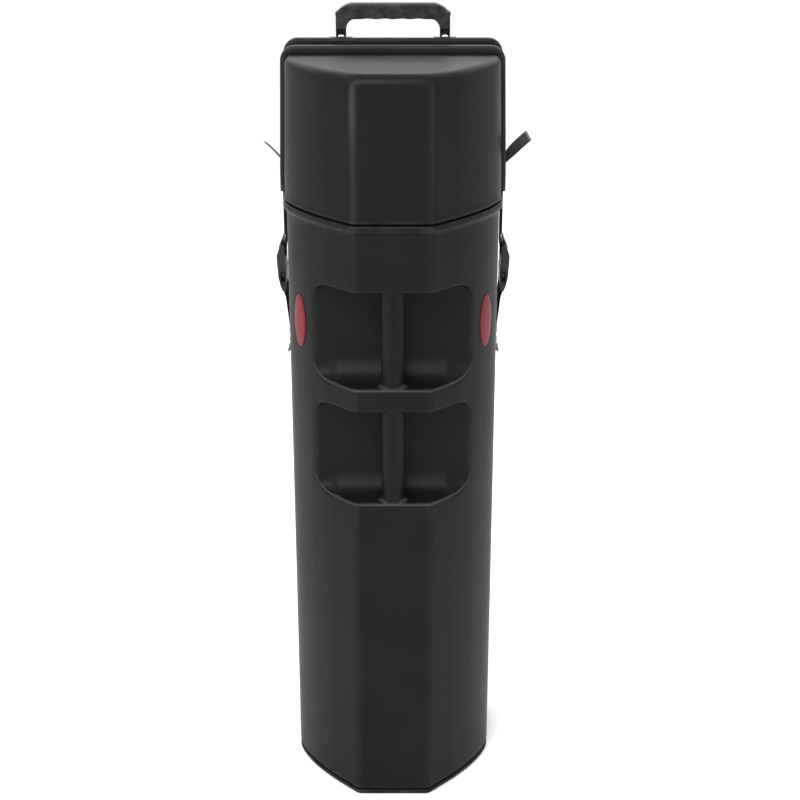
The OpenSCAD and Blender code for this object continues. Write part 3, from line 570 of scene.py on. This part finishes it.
# ---------------------------------------------------------------- materials
class Net:
    """A material's node tree, with short ways to add and link nodes."""

    def __init__(self, name):
        self.material = bpy.data.materials.new(name)
        self.material.use_nodes = True
        self.tree = self.material.node_tree
        self.shader = self.tree.nodes["Principled BSDF"]

    def add(self, kind, settings=None, **inputs):
        node = self.tree.nodes.new(kind)
        for key, value in (settings or {}).items():
            setattr(node, key, value)
        for key, value in inputs.items():
            self.feed(node.inputs[key.replace("_", " ")], value)
        return node

    def feed(self, socket, value):
        if isinstance(value, bpy.types.NodeSocket):
            self.tree.links.new(value, socket)
        else:
            socket.default_value = value

    def place(self):
        """Coordinates fixed to the object."""
        return self.add("ShaderNodeTexCoord").outputs["Object"]

    def noise(self, where, scale, detail=3.0, roughness=0.55):
        node = self.add("ShaderNodeTexNoise", Vector=where, Scale=scale, Detail=detail, Roughness=roughness)
        return node.outputs["Fac"]

    def ramp(self, value, low, high, to_low=0.0, to_high=1.0):
        node = self.add("ShaderNodeMapRange", {"interpolation_type": "SMOOTHSTEP"}, Value=value)
        for key, number in (("From Min", low), ("From Max", high), ("To Min", to_low), ("To Max", to_high)):
            node.inputs[key].default_value = number
        return node.outputs["Result"]

    def mix(self, factor, a, b):
        node = self.add("ShaderNodeMix", {"data_type": "RGBA"})
        self.feed(node.inputs["Factor"], factor)
        self.feed(node.inputs["A"], a)
        self.feed(node.inputs["B"], b)
        return node.outputs["Result"]

    def math(self, operation, a, b=0.0):
        node = self.add("ShaderNodeMath", {"operation": operation})
        self.feed(node.inputs[0], a)
        self.feed(node.inputs[1], b)
        return node.outputs[0]

    def bump(self, height, distance, over=None):
        node = self.add("ShaderNodeBump", Height=height, Distance=distance, Strength=1.0)
        if over is not None:
            self.feed(node.inputs["Normal"], over)
        return node.outputs["Normal"]

    def finish(self, colour, roughness, normal=None, **plain):
        self.feed(self.shader.inputs["Base Color"], colour)
        self.feed(self.shader.inputs["Roughness"], roughness)
        if normal is not None:
            self.feed(self.shader.inputs["Normal"], normal)
        for key, value in plain.items():
            self.shader.inputs[key.replace("_", " ")].default_value = value
        return self.material


def rgb(r, g, b):
    return (r, g, b, 1.0)


def grey(level):
    return rgb(level, level, level)


def moulded_plastic(name, dark, light, rough, grain, spec):
    """Satin polyethylene: fine grain, a slight orange peel, patchy gloss, edges made paler partly as scuffing
    and partly as painted highlight, and painted highlights from the mesh's stored amount.
    """
    net = Net(name)
    where = net.place()
    patches = net.noise(where, 9.0, 4.0)
    fine = net.noise(where, 1500.0, 2.0)
    peel = net.noise(where, 130.0, 2.0, 0.4)
    # Edges found by pointiness go paler where noise allows: partly scuffing, partly a painted highlight on the
    # edges.
    edges = net.add("ShaderNodeNewGeometry").outputs["Pointiness"]
    painted_highlight = net.ramp(edges, 0.505, 0.56)
    scuffs_and_edge_highlight = net.math("MULTIPLY", painted_highlight, net.ramp(net.noise(where, 55.0, 5.0, 0.7), 0.38, 0.62))
    colour = net.mix(net.ramp(patches, 0.3, 0.7), dark, light)
    colour = net.mix(net.ramp(fine, 0.35, 0.75, 0.0, 0.35), colour, light)
    colour = net.mix(net.math("MULTIPLY", scuffs_and_edge_highlight, 0.35), colour, rgb(0.075, 0.075, 0.073))
    # Painted highlights: the mesh's stored amount pales the colour towards a light grey.
    painted_highlight_amount = net.add("ShaderNodeAttribute", {"attribute_name": "painted_highlight"}).outputs["Fac"]
    paler = net.math("MULTIPLY", painted_highlight_amount, net.ramp(patches, 0.2, 0.7, 0.5, 1.0))
    colour = net.mix(paler, colour, rgb(0.05, 0.05, 0.052))
    gloss = net.math("ADD", net.ramp(patches, 0.25, 0.75, rough - 0.03, rough + 0.04),
                     net.ramp(fine, 0.3, 0.7, -0.02, 0.03))
    normal = net.bump(peel, 0.00022 * grain)
    normal = net.bump(fine, 0.00006 * grain, over=normal)
    return net.finish(colour, gloss, normal, Specular_IOR_Level=spec)


def glossy_plastic(name, dark, light, rough):
    """Acetal: smoother than the case, with faint flow marks and fine scratches."""
    net = Net(name)
    where = net.place()
    flow = net.noise(where, 60.0, 3.0)
    stretched = net.add("ShaderNodeMapping", Vector=where, Scale=(900.0, 900.0, 60.0)).outputs["Vector"]
    scratch = net.ramp(net.noise(stretched, 1.0, 4.0, 0.7), 0.6, 0.8)
    edges = net.ramp(net.add("ShaderNodeNewGeometry").outputs["Pointiness"], 0.52, 0.6)
    colour = net.mix(net.ramp(flow, 0.3, 0.7), dark, light)
    colour = net.mix(net.math("MULTIPLY", edges, 0.3), colour, grey(0.06))
    gloss = net.ramp(scratch, 0.0, 1.0, rough, rough + 0.14)
    normal = net.bump(net.noise(where, 900.0, 2.0), 0.00003)
    return net.finish(colour, gloss, normal, Specular_IOR_Level=0.22)


def webbing_fabric():
    """Woven polypropylene: cross ribs crossed by warp yarns, a smooth selvedge, and a paler melted cut end."""
    net = Net("webbing")
    spot = net.add("ShaderNodeAttribute", {"attribute_name": "weave"}).outputs["Vector"]
    parts = net.add("ShaderNodeSeparateXYZ", Vector=spot)
    across, along, to_end = parts.outputs["X"], parts.outputs["Y"], parts.outputs["Z"]
    rib = net.math("SINE", net.math("MULTIPLY", along, 2 * math.pi / RIB_PITCH))
    yarn = net.math("SINE", net.math("MULTIPLY", across, 2 * math.pi / YARN_PITCH))
    twill = net.math("MULTIPLY", rib, yarn)
    where = net.place()
    fuzz = net.noise(where, 2500.0, 3.0, 0.7)
    wear = net.noise(where, 45.0, 4.0)
    colour = net.mix(net.ramp(twill, -0.9, 0.9), rgb(0.005, 0.005, 0.0054), rgb(0.014, 0.014, 0.0147))
    colour = net.mix(net.ramp(fuzz, 0.5, 0.75, 0.0, 0.5), colour, rgb(0.032, 0.032, 0.0335))
    colour = net.mix(net.ramp(wear, 0.5, 0.7, 0.0, 0.25), colour, rgb(0.03, 0.03, 0.031))
    colour = net.mix(net.ramp(to_end, 0.0, 0.005, 0.85, 0.0), colour, grey(0.22))
    height = net.math("ADD", net.math("MULTIPLY", twill, 0.5), net.math("MULTIPLY", fuzz, 0.6))
    return net.finish(colour, net.ramp(fuzz, 0.2, 0.8, 0.62, 0.85), net.bump(height, 0.00012),
                      Specular_IOR_Level=0.25, Sheen_Weight=0.05, Sheen_Roughness=0.5)


def closed_cell_foam():
    """Dark foam with fine open cells and a slightly patchy tone."""
    net = Net("foam")
    where = net.place()
    cells = net.add("ShaderNodeTexVoronoi", Vector=where, Scale=520.0).outputs["Distance"]
    soft = net.noise(where, 30.0, 4.0)
    colour = net.mix(net.ramp(cells, 0.1, 0.7), rgb(0.03, 0.03, 0.033), rgb(0.062, 0.062, 0.066))
    colour = net.mix(net.ramp(soft, 0.3, 0.7, 0.0, 0.4), colour, rgb(0.075, 0.075, 0.08))
    rough = net.ramp(soft, 0.3, 0.7, 0.88, 0.97)
    return net.finish(colour, rough, net.bump(cells, 0.0005), Specular_IOR_Level=0.15)


def enamelled_badge():
    """A dome: red with a little depth of tone and dust-fine specks."""
    net = Net("badge_red")
    where = net.place()
    tone = net.noise(where, 26.0, 3.0)
    fleck = net.ramp(net.noise(where, 3200.0, 2.0), 0.62, 0.75)
    colour = net.mix(net.ramp(tone, 0.3, 0.7), rgb(0.135, 0.012, 0.018), rgb(0.175, 0.018, 0.026))
    colour = net.mix(net.math("MULTIPLY", fleck, 0.25), colour, rgb(0.3, 0.08, 0.09))
    rough = net.ramp(tone, 0.3, 0.7, 0.3, 0.42)
    return net.finish(colour, rough, net.bump(tone, 0.0001), Specular_IOR_Level=0.12)


def zinc_plate():
    """Plated steel, cloudy, with faint turning marks and brighter edges."""
    net = Net("zinc_plated_steel")
    where = net.place()
    cloud = net.noise(where, 220.0, 4.0)
    turned = net.ramp(net.noise(where, 1800.0, 3.0, 0.6), 0.4, 0.7)
    edges = net.ramp(net.add("ShaderNodeNewGeometry").outputs["Pointiness"], 0.5, 0.58)
    colour = net.mix(net.ramp(cloud, 0.3, 0.7), rgb(0.36, 0.36, 0.345), rgb(0.55, 0.55, 0.53))
    colour = net.mix(net.math("MULTIPLY", edges, 0.4), colour, rgb(0.7, 0.7, 0.68))
    gloss = net.math("ADD", net.ramp(cloud, 0.3, 0.7, 0.28, 0.4), net.math("MULTIPLY", turned, 0.08))
    return net.finish(colour, gloss, net.bump(turned, 0.00003), Metallic=1.0)


def rubber():
    """Tyre rubber with a little dust."""
    net = Net("tyre_rubber")
    where = net.place()
    dust = net.noise(where, 70.0, 5.0, 0.65)
    fine = net.noise(where, 1400.0, 2.0)
    colour = net.mix(net.ramp(dust, 0.4, 0.75), grey(0.011), rgb(0.045, 0.043, 0.04))
    rough = net.ramp(dust, 0.3, 0.7, 0.62, 0.8)
    return net.finish(colour, rough, net.bump(fine, 0.00012), Specular_IOR_Level=0.3)


def hub_nylon():
    """Grey nylon with a cloudy tone and fine grain."""
    net = Net("hub_nylon")
    where = net.place()
    cloud = net.noise(where, 90.0, 4.0)
    fine = net.noise(where, 1100.0, 2.0)
    colour = net.mix(net.ramp(cloud, 0.3, 0.7), rgb(0.075, 0.075, 0.074), rgb(0.11, 0.11, 0.108))
    rough = net.ramp(cloud, 0.3, 0.7, 0.4, 0.5)
    return net.finish(colour, rough, net.bump(fine, 0.00008), Specular_IOR_Level=0.4)


RIB_PITCH, YARN_PITCH = 2.4 * MM, 1.3 * MM
CASE_BLACK = moulded_plastic("case_black", rgb(0.0045, 0.0044, 0.0041), rgb(0.0069, 0.0067, 0.0062),
                             rough=0.42, grain=1.0, spec=0.1)
BRACKET_BLACK = moulded_plastic("bracket_black", grey(0.006), grey(0.01), rough=0.4, grain=0.6, spec=0.25)
HANDLE_BLACK = moulded_plastic("handle_black", rgb(0.008, 0.008, 0.0084), rgb(0.013, 0.013, 0.0134),
                               rough=0.36, grain=0.7, spec=0.28)
BUCKLE_BLACK = glossy_plastic("buckle_black", grey(0.003), grey(0.006), rough=0.3)
WEBBING, FOAM, BADGE_RED, ZINC = webbing_fabric(), closed_cell_foam(), enamelled_badge(), zinc_plate()
RUBBER, NYLON = rubber(), hub_nylon()

place(body_shell(), "case", "case_plastic", CASE_BLACK, "body_shell", "grip_posts")
place(lid_shell(), "lid", "case_plastic", CASE_BLACK, "lid_shell")


# ---------------------------------------------------------------- webbing
# These lengths are in millimetres, and webbing() brings its points to metres
STRAP_Y, STRAP_W, STRAP_T = 66.5, 38.0, 1.3
WALL_X, LID_X, LID_CORNER_X = 150.0, 152.0, 138.74
LOAD_X = WALL_X + 5 + 0.3 + STRAP_T / 2
TAIL_X = LOAD_X + STRAP_T + 0.15
LID_WEB_X = LID_X + 0.2 + STRAP_T / 2
LID_TAIL_X = LID_WEB_X + STRAP_T + 0.15
WALL_WEB_X = WALL_X + 0.2 + STRAP_T / 2
SECOND_WEB_X = WALL_WEB_X + STRAP_T + 0.2
ON_LID_Z, STEP_Z, ON_WALL_Z = 935, 916, 905
BAR, BAR_BEND_R = (161.5, 806), 3.75
LID_CORNER_Z, LID_CORNER_R = 1092, 9.85
ANCHOR_BAR, ANCHOR_BEND_R = (159, 757), 2.75
RIGHT_TIP, LEFT_TIP = (194, 980), (184, 971)
RIGHT_TWIST, LEFT_TWIST = -11, 15


def bend(a, b, c, count):
    """Evenly taken points of a quadratic curve, with both its ends."""
    return quadratic(a, b, c, np.linspace(0, 1, count + 1))


def strap_side(tip):
    """From a loose end down to the buckle, round its bar, and up over the lid's corner, in X and Z."""
    return np.vstack([
        bend(tip, (159.5, 950), (LID_TAIL_X, ON_LID_Z), 12),
        [(LID_TAIL_X, STEP_Z), (TAIL_X, ON_WALL_Z)],
        bend((TAIL_X, 842), (TAIL_X, 833.5), (161.4, 829.2), 8),
        [(165.2, 817.5)],
        arc(BAR, BAR_BEND_R, 0, -180, 20),
        [(LOAD_X, 822), (LOAD_X, ON_WALL_Z), (LID_WEB_X, STEP_Z), (LID_WEB_X, ON_LID_Z)],
        arc((LID_CORNER_X, LID_CORNER_Z), LID_CORNER_R, 0, 90, 14),
    ])


def resampled(path, step, ease_over):
    """Even points along a path in millimetres, its corners eased over the given length."""
    path = np.asarray(path, float)
    along = np.concatenate([[0], np.cumsum(np.linalg.norm(np.diff(path, axis=0), axis=1))])
    count = int(along[-1] / step)
    even = np.linspace(0, along[-1], count + 1)
    half = int(ease_over / step / 2)
    reach = np.minimum(half, np.minimum(np.arange(count + 1), np.arange(count, -1, -1)))
    points = np.column_stack([np.interp(even, along, path[:, i]) for i in (0, 1)])
    total = np.vstack([[0, 0], np.cumsum(points, 0)])
    index = np.arange(count + 1)
    return (total[index + reach + 1] - total[index - reach]) / (2 * reach + 1)[:, None], even


def webbing(name, path, twist=None, mirrored=False):
    """A woven strap along a path in X and Z. twist turns its width, in degrees, by the distance along."""
    centre, even = resampled(path, 0.6, 1.8)
    tangent = np.gradient(centre, axis=0)
    tangent /= np.linalg.norm(tangent, axis=1)[:, None]
    normal = np.column_stack([-tangent[:, 1], tangent[:, 0]])
    turn = np.radians(twist(even) if twist else np.zeros(len(even)))
    across = np.linspace(-1, 1, 17)
    half_w, half_t = STRAP_W / 2 - 0.1, STRAP_T / 2 - 0.1
    section = [(w, 1) for w in across] + [(w, -1) for w in across[::-1]]
    to_end = np.minimum(even, even[-1] - even)
    points, weave = [], []
    for i in range(len(centre)):
        rib = 0.08 * math.sin(2 * math.pi * even[i] / (RIB_PITCH / MM))
        melted = min(1, to_end[i] / 2.5)
        for w, face in section:
            edge = abs(w) > 0.9
            thick = half_t * (0.55 if abs(w) == 1 else 1.0)
            thick += 0.05 if edge else rib + 0.04 * math.cos(w * 25)
            thick *= 0.7 + 0.3 * melted
            side, up = w * half_w * (0.985 + 0.015 * melted), face * thick
            y = STRAP_Y + side * math.cos(turn[i]) - up * math.sin(turn[i])
            out = side * math.sin(turn[i]) + up * math.cos(turn[i])
            x, z = centre[i] + normal[i] * out
            points.append((-x * MM if mirrored else x * MM, y * MM, z * MM))
            weave.append((side * MM, even[i] * MM, to_end[i] * MM))
    count = len(section)
    rings = [points[i * count:(i + 1) * count] for i in range(len(centre))]
    vertices, faces = loft(rings)
    obj = new_object(name, vertices, faces)
    attribute = obj.data.attributes.new("weave", "FLOAT_VECTOR", "POINT")
    attribute.data.foreach_set("vector", np.asarray(weave, np.float32).ravel())
    return smooth(turned_out(obj), 60)


def over_strap():
    """The strap from its loose end on the right, over the lid, to the one on the left."""
    right, left = strap_side(RIGHT_TIP), strap_side(LEFT_TIP) * [-1, 1]
    path = np.vstack([right, left[::-1]])

    def twist(along):
        total = along[-1]
        return RIGHT_TWIST * (1 - ease(along, 26, 62)) + LEFT_TWIST * ease(along, total - 54, total - 28)

    return webbing("webbing_over_lid", path, twist)


def anchor_strap(side):
    """A doubled strap from its rivets on the wall up round the bar of the lower buckle half."""
    path = np.vstack([
        [(WALL_WEB_X, 661), (WALL_WEB_X, 694)],
        arc(ANCHOR_BAR, ANCHOR_BEND_R, 175, 0, 20),
        [(157.8, 744), (SECOND_WEB_X, 693), (SECOND_WEB_X, 665)],
        bend((SECOND_WEB_X, 662), (154, 659.5), (157.5, 658), 8),
    ])
    return webbing(f"webbing_anchor_{side}", path, mirrored=side == "left")


place(over_strap(), "lid", "webbing", WEBBING, "over_strap")
for side in ("left", "right"):
    place(anchor_strap(side), "case", "webbing", WEBBING, f"anchor_strap_{side}")


# ---------------------------------------------------------------- badges
BADGE_AT = np.array([131.5, -44.2]) * MM
BADGE_HALF_W, BADGE_HALF_H = 15.4 * MM, 38.4 * MM
# The dome from its edge to near its middle, as a share of its half width and as a height in millimetres
BADGE_DOME = ((0.999, 0.05), (1.0, 0.5), (0.992, 0.85), (0.97, 1.12), (0.93, 1.3), (0.8, 1.62), (0.6, 1.9),
              (0.4, 2.05), (0.2, 2.12))


def badge(side):
    """A domed oval that follows the curve of the wall."""
    lengths = np.concatenate([[0], np.cumsum(np.linalg.norm(np.diff(HALF, axis=0), axis=1))])
    low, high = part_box("badge_" + side)
    middle_z = (low.z + high.z) / 2
    nearest = np.argmin(np.linalg.norm(HALF - BADGE_AT, axis=1))
    ahead = (HALF[nearest + 1] - HALF[nearest]) / (lengths[nearest + 1] - lengths[nearest])
    start = lengths[nearest] + (BADGE_AT - HALF[nearest]) @ ahead
    ways = outward(HALF)
    sign = -1 if side == "left" else 1

    def at(u, v, out):
        """The point u along the wall and v up from the badge's middle, and out from the wall."""
        along = start + u
        x, y = (np.interp(along, lengths, HALF[:, i]) for i in (0, 1))
        nx, ny = (np.interp(along, lengths, ways[:, i]) for i in (0, 1))
        return (sign * (x + nx * out), y + ny * out, middle_z + v)

    def oval(reach, out):
        return [at(BADGE_HALF_W * reach * math.cos(a), BADGE_HALF_H * reach * math.sin(a), out * MM)
                for a in np.linspace(0, 2 * math.pi, 73)[:-1]]

    rings = [oval(0.5, 0.05)] + [oval(reach, out) for reach, out in BADGE_DOME]
    return smooth(turned_out(new_object("badge_dome_" + side, *loft(rings))), 50)


for side in ("left", "right"):
    place(badge(side), "case", "badge", BADGE_RED, "badge_" + side)


# ---------------------------------------------------------------- foam pads
def foam_pad(name, node, inset, narrowing, cutters):
    """A soft slab of foam with rounded edges and a slightly uneven face."""
    low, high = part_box(node)
    tall = high.z - low.z
    rings = []
    for k in range(7):
        a = math.radians(15 * k)
        rings.append((inset + 3 * MM * (1 - math.sin(a)), low.z + 2 * MM * (1 - math.cos(a))))
    for k in range(7):
        a = math.radians(15 * k)
        rings.append((inset + 5 * MM * (1 - math.cos(a)), high.z - 4 * MM * (1 - math.sin(a))))
    rings = [plan_ring(i, z) * [1 - narrowing, 1, 1] for i, z in rings]
    flat, base, centre = rings[-1], rings[0], np.array([0, 0.01])

    def drawn_in(ring, share):
        made = ring.copy()
        made[:, :2] += (centre - ring[:, :2]) * share
        return made

    rings += [drawn_in(flat, share) for share in (0.08, 0.2, 0.35, 0.5, 0.65, 0.8, 0.93)]
    rings = [drawn_in(base, share) for share in (0.93, 0.7, 0.4, 0.1)] + rings
    for ring in rings:
        swell = 0.35 * MM * (np.sin(ring[:, 0] * 61 + 1) * np.sin(ring[:, 1] * 47) - 1)
        up = ease(ring[:, 2], low.z + 0.5 * tall, high.z)
        ring[:, 2] += swell * up
    obj = turned_out(new_object(name, *loft(rings)))
    for corner_low, corner_high in cutters:
        for sign in (-1, 1):
            xs = sorted((sign * corner_low[0], sign * corner_high[0]))
            cut(obj, rounded_box("notch", (xs[0], *corner_low[1:]), (xs[1], *corner_high[1:]), 1.5 * MM))
    return smooth(obj, 40)


margin, behind = 6.5 * MM, 0.2
base_notch = ((housing_low.x - margin, housing_low.y - margin, -10 * MM),
              (housing_high.x + margin, behind, 60 * MM))
lid_notch = ((plate_low.x - margin, plate_low.y - margin, 1.07), (plate_high.x + margin, behind, 1.12))
PADS = (
    ("foam_base", "case", "base_pad", 6.2 * MM, 0.0, base_notch),
    ("foam_lid", "lid", "lid_pad", 14 * MM, 0.036, lid_notch),
)
for piece, body, node, inset, narrowing, notch in PADS:
    pad = place(foam_pad(piece, node, inset, narrowing, [notch]), body, "foam", FOAM, node)


# ---------------------------------------------------------------- wheels
def turned(name, profile, centre, count=96):
    """A solid of revolution about an axis along X, from a closed list of (radius, x) in millimetres."""
    rings = []
    for radius, x in profile:
        ring = arc([centre.y, centre.z], radius * MM, 0, 360, count)[:-1]
        rings.append(np.column_stack([np.full(count, centre.x + x * MM), ring]))
    points, faces = loft(rings + rings[:1], cap_start=False, cap_end=False)
    return turned_out(new_object(name, points, faces), merge=1e-7)


def tyre_profile():
    """Bead, wall, round shoulder, and a tread with a groove on each side of its middle."""
    half = [(21.1, 0.0), (21.1, 10.6), (21.5, 10.95), (23.6, 10.95), (24.0, 10.7), (24.5, 10.95), (25.6, 10.9)]
    for a in np.radians(np.arange(15, 91, 15)):
        half.append((25.6 + 6.2 * math.sin(a), 10.9 - 5.4 * (1 - math.cos(a))))
    half += [(31.85, 4.8), (31.7, 4.5), (30.9, 4.3), (30.8, 3.7), (30.8, 3.3), (30.9, 2.7), (31.7, 2.5),
             (31.9, 2.2), (31.95, 0.0)]
    return half[::-1] + [(r, -x) for r, x in half[1:-1]]


def hub(name, centre):
    """A rim and a boss joined by a web and six spokes."""
    half = [(21.0, 0.0), (20.95, 9.6), (20.6, 10.0), (19.4, 10.0), (19.0, 9.6), (18.4, 4.2), (17.8, 3.6),
            (15.0, 3.4), (14.4, 4.2), (14.0, 9.6), (13.6, 10.0), (11.5, 10.0), (11.05, 9.6), (11.05, 3.0),
            (8.2, 3.0), (8.0, 0.0)]
    obj = turned(name, half + [(r, -x) for r, x in half[-2:0:-1]], centre)
    for k in range(6):
        a = math.radians(60 * k + 30)
        out = np.array([0, math.cos(a), math.sin(a)])
        sideways = np.array([0, -math.sin(a), math.cos(a)])
        corners = []
        for radius, tall in ((13.4, 8.4), (20.2, 9.0)):
            corners.append([np.array(centre) + (out * radius + sideways * w + np.array([x, 0, 0])) * MM
                            for w, x in ((-1.1, -tall), (1.1, -tall), (1.1, tall), (-1.1, tall))])
        cut(obj, turned_out(new_object("spoke", *loft(corners))), "UNION")
    return obj


for side in ("left", "right"):
    low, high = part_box("tyre_" + side)
    centre = (low + high) / 2
    tread = smooth(turned("tyre_tread_" + side, tyre_profile(), centre), 50)
    place(tread, "wheel_" + side, "tyre", RUBBER, "tyre_" + side)
    spoked = smooth(hub("hub_spoked_" + side, centre), 35)
    place(spoked, "wheel_" + side, "hub", NYLON, "hub_" + side)


# ---------------------------------------------------------------- CAD nodes that stay
def soften_node(name, material, width, segments, angle):
    """Gives a CAD node its material and narrow rounded edges."""
    obj = nodes[name]
    obj.data.materials.clear()
    obj.data.materials.append(material)
    bevel = obj.modifiers.new("edges", "BEVEL")
    bevel.width = width * MM
    bevel.segments = segments
    bevel.limit_method = "ANGLE"
    bevel.angle_limit = math.radians(angle)
    bevel.harden_normals = True
    obj.data.shade_smooth()


# Material, width of the rounding in millimetres, its segments, the least angle of an edge, and how names start
STAYING = (
    (HANDLE_BLACK, 1.1, 3, 28, ("carry_handle",)),
    (BRACKET_BLACK, 0.4, 2, 30, ("handle_bracket", "wheel_housing")),
    (BUCKLE_BLACK, 0.45, 2, 30, ("female_buckle", "male_buckle", "squeeze_arm", "strap_keeper")),
    (ZINC, 0.25, 2, 30, ("strap_rivets", "rivet_washers", "housing_rivets", "axle", "bearings", "keeper_screws",
                         "hinge_pin", "bracket_screws", "bracket_nuts")),
)
for material, width, segments, angle, starts in STAYING:
    for node_name in sorted(nodes):
        if node_name.startswith(starts):
            soften_node(node_name, material, width, segments, angle)


# ---------------------------------------------------------------- stage, lights and camera
FLOOR_HALF = 14.0
WORLD_LIGHT = 1.06
LENS, SENSOR = 71.06, 36
CAMERA_AT = (0.010, -2.1675, 1.462)
CAMERA_DOWN = 21.7
# Name, place, target, width and height, and power in watts
LIGHTS = (
    ("key", (-0.7, -2.2, 3.3), (0, 0, 0.7), (1.7, 0.9), 84),
    ("low_left", (-1.35, -1.45, 0.06), (0, 0, 1.0), (0.9, 0.25), 4),
    ("low_right", (1.35, -1.45, 0.06), (0, 0, 1.0), (0.9, 0.25), 2),
    ("rear_bank", (0, 2.2, 2.5), (0, 0, 1.1), (5.0, 1.2), 48),
)


def floor():
    """A plain pale floor."""
    net = Net("pale_floor")
    where = net.place()
    colour = net.mix(net.noise(where, 1.5), grey(0.94), grey(0.97))
    material = net.finish(colour, 0.9, Specular_IOR_Level=0.0)
    points = [(x * FLOOR_HALF, y * FLOOR_HALF, 0) for x, y in ((-1, -1), (1, -1), (1, 1), (-1, 1))]
    obj = new_object("floor", points, [(0, 1, 2, 3)])
    obj.data.materials.append(material)


def area_light(name, position, target, size, power):
    data = bpy.data.lights.new(name, "AREA")
    data.shape = "RECTANGLE"
    data.size, data.size_y = size
    data.energy = power
    obj = bpy.data.objects.new(name, data)
    obj.location = position
    obj.rotation_euler = (Vector(target) - Vector(position)).to_track_quat("-Z", "Y").to_euler()
    bpy.context.scene.collection.objects.link(obj)


def world(strength):
    made = bpy.data.worlds.new("studio")
    made.use_nodes = True
    background = made.node_tree.nodes["Background"]
    background.inputs["Color"].default_value = grey(1.0)
    background.inputs["Strength"].default_value = strength
    bpy.context.scene.world = made


def camera():
    data = bpy.data.cameras.new("camera")
    data.lens = LENS
    data.sensor_width = SENSOR
    obj = bpy.data.objects.new("camera", data)
    obj.location = CAMERA_AT
    obj.rotation_euler = (math.radians(90 - CAMERA_DOWN), 0, 0)
    bpy.context.scene.collection.objects.link(obj)
    bpy.context.scene.camera = obj


floor()
world(WORLD_LIGHT)
for light in LIGHTS:
    area_light(*light)
camera()
bpy.context.scene.view_settings.view_transform = "Standard"


# ---------------------------------------------------------------- sizes as plain numbers, and the end
def plain(box):
    return [[float(v) for v in corner] for corner in box]
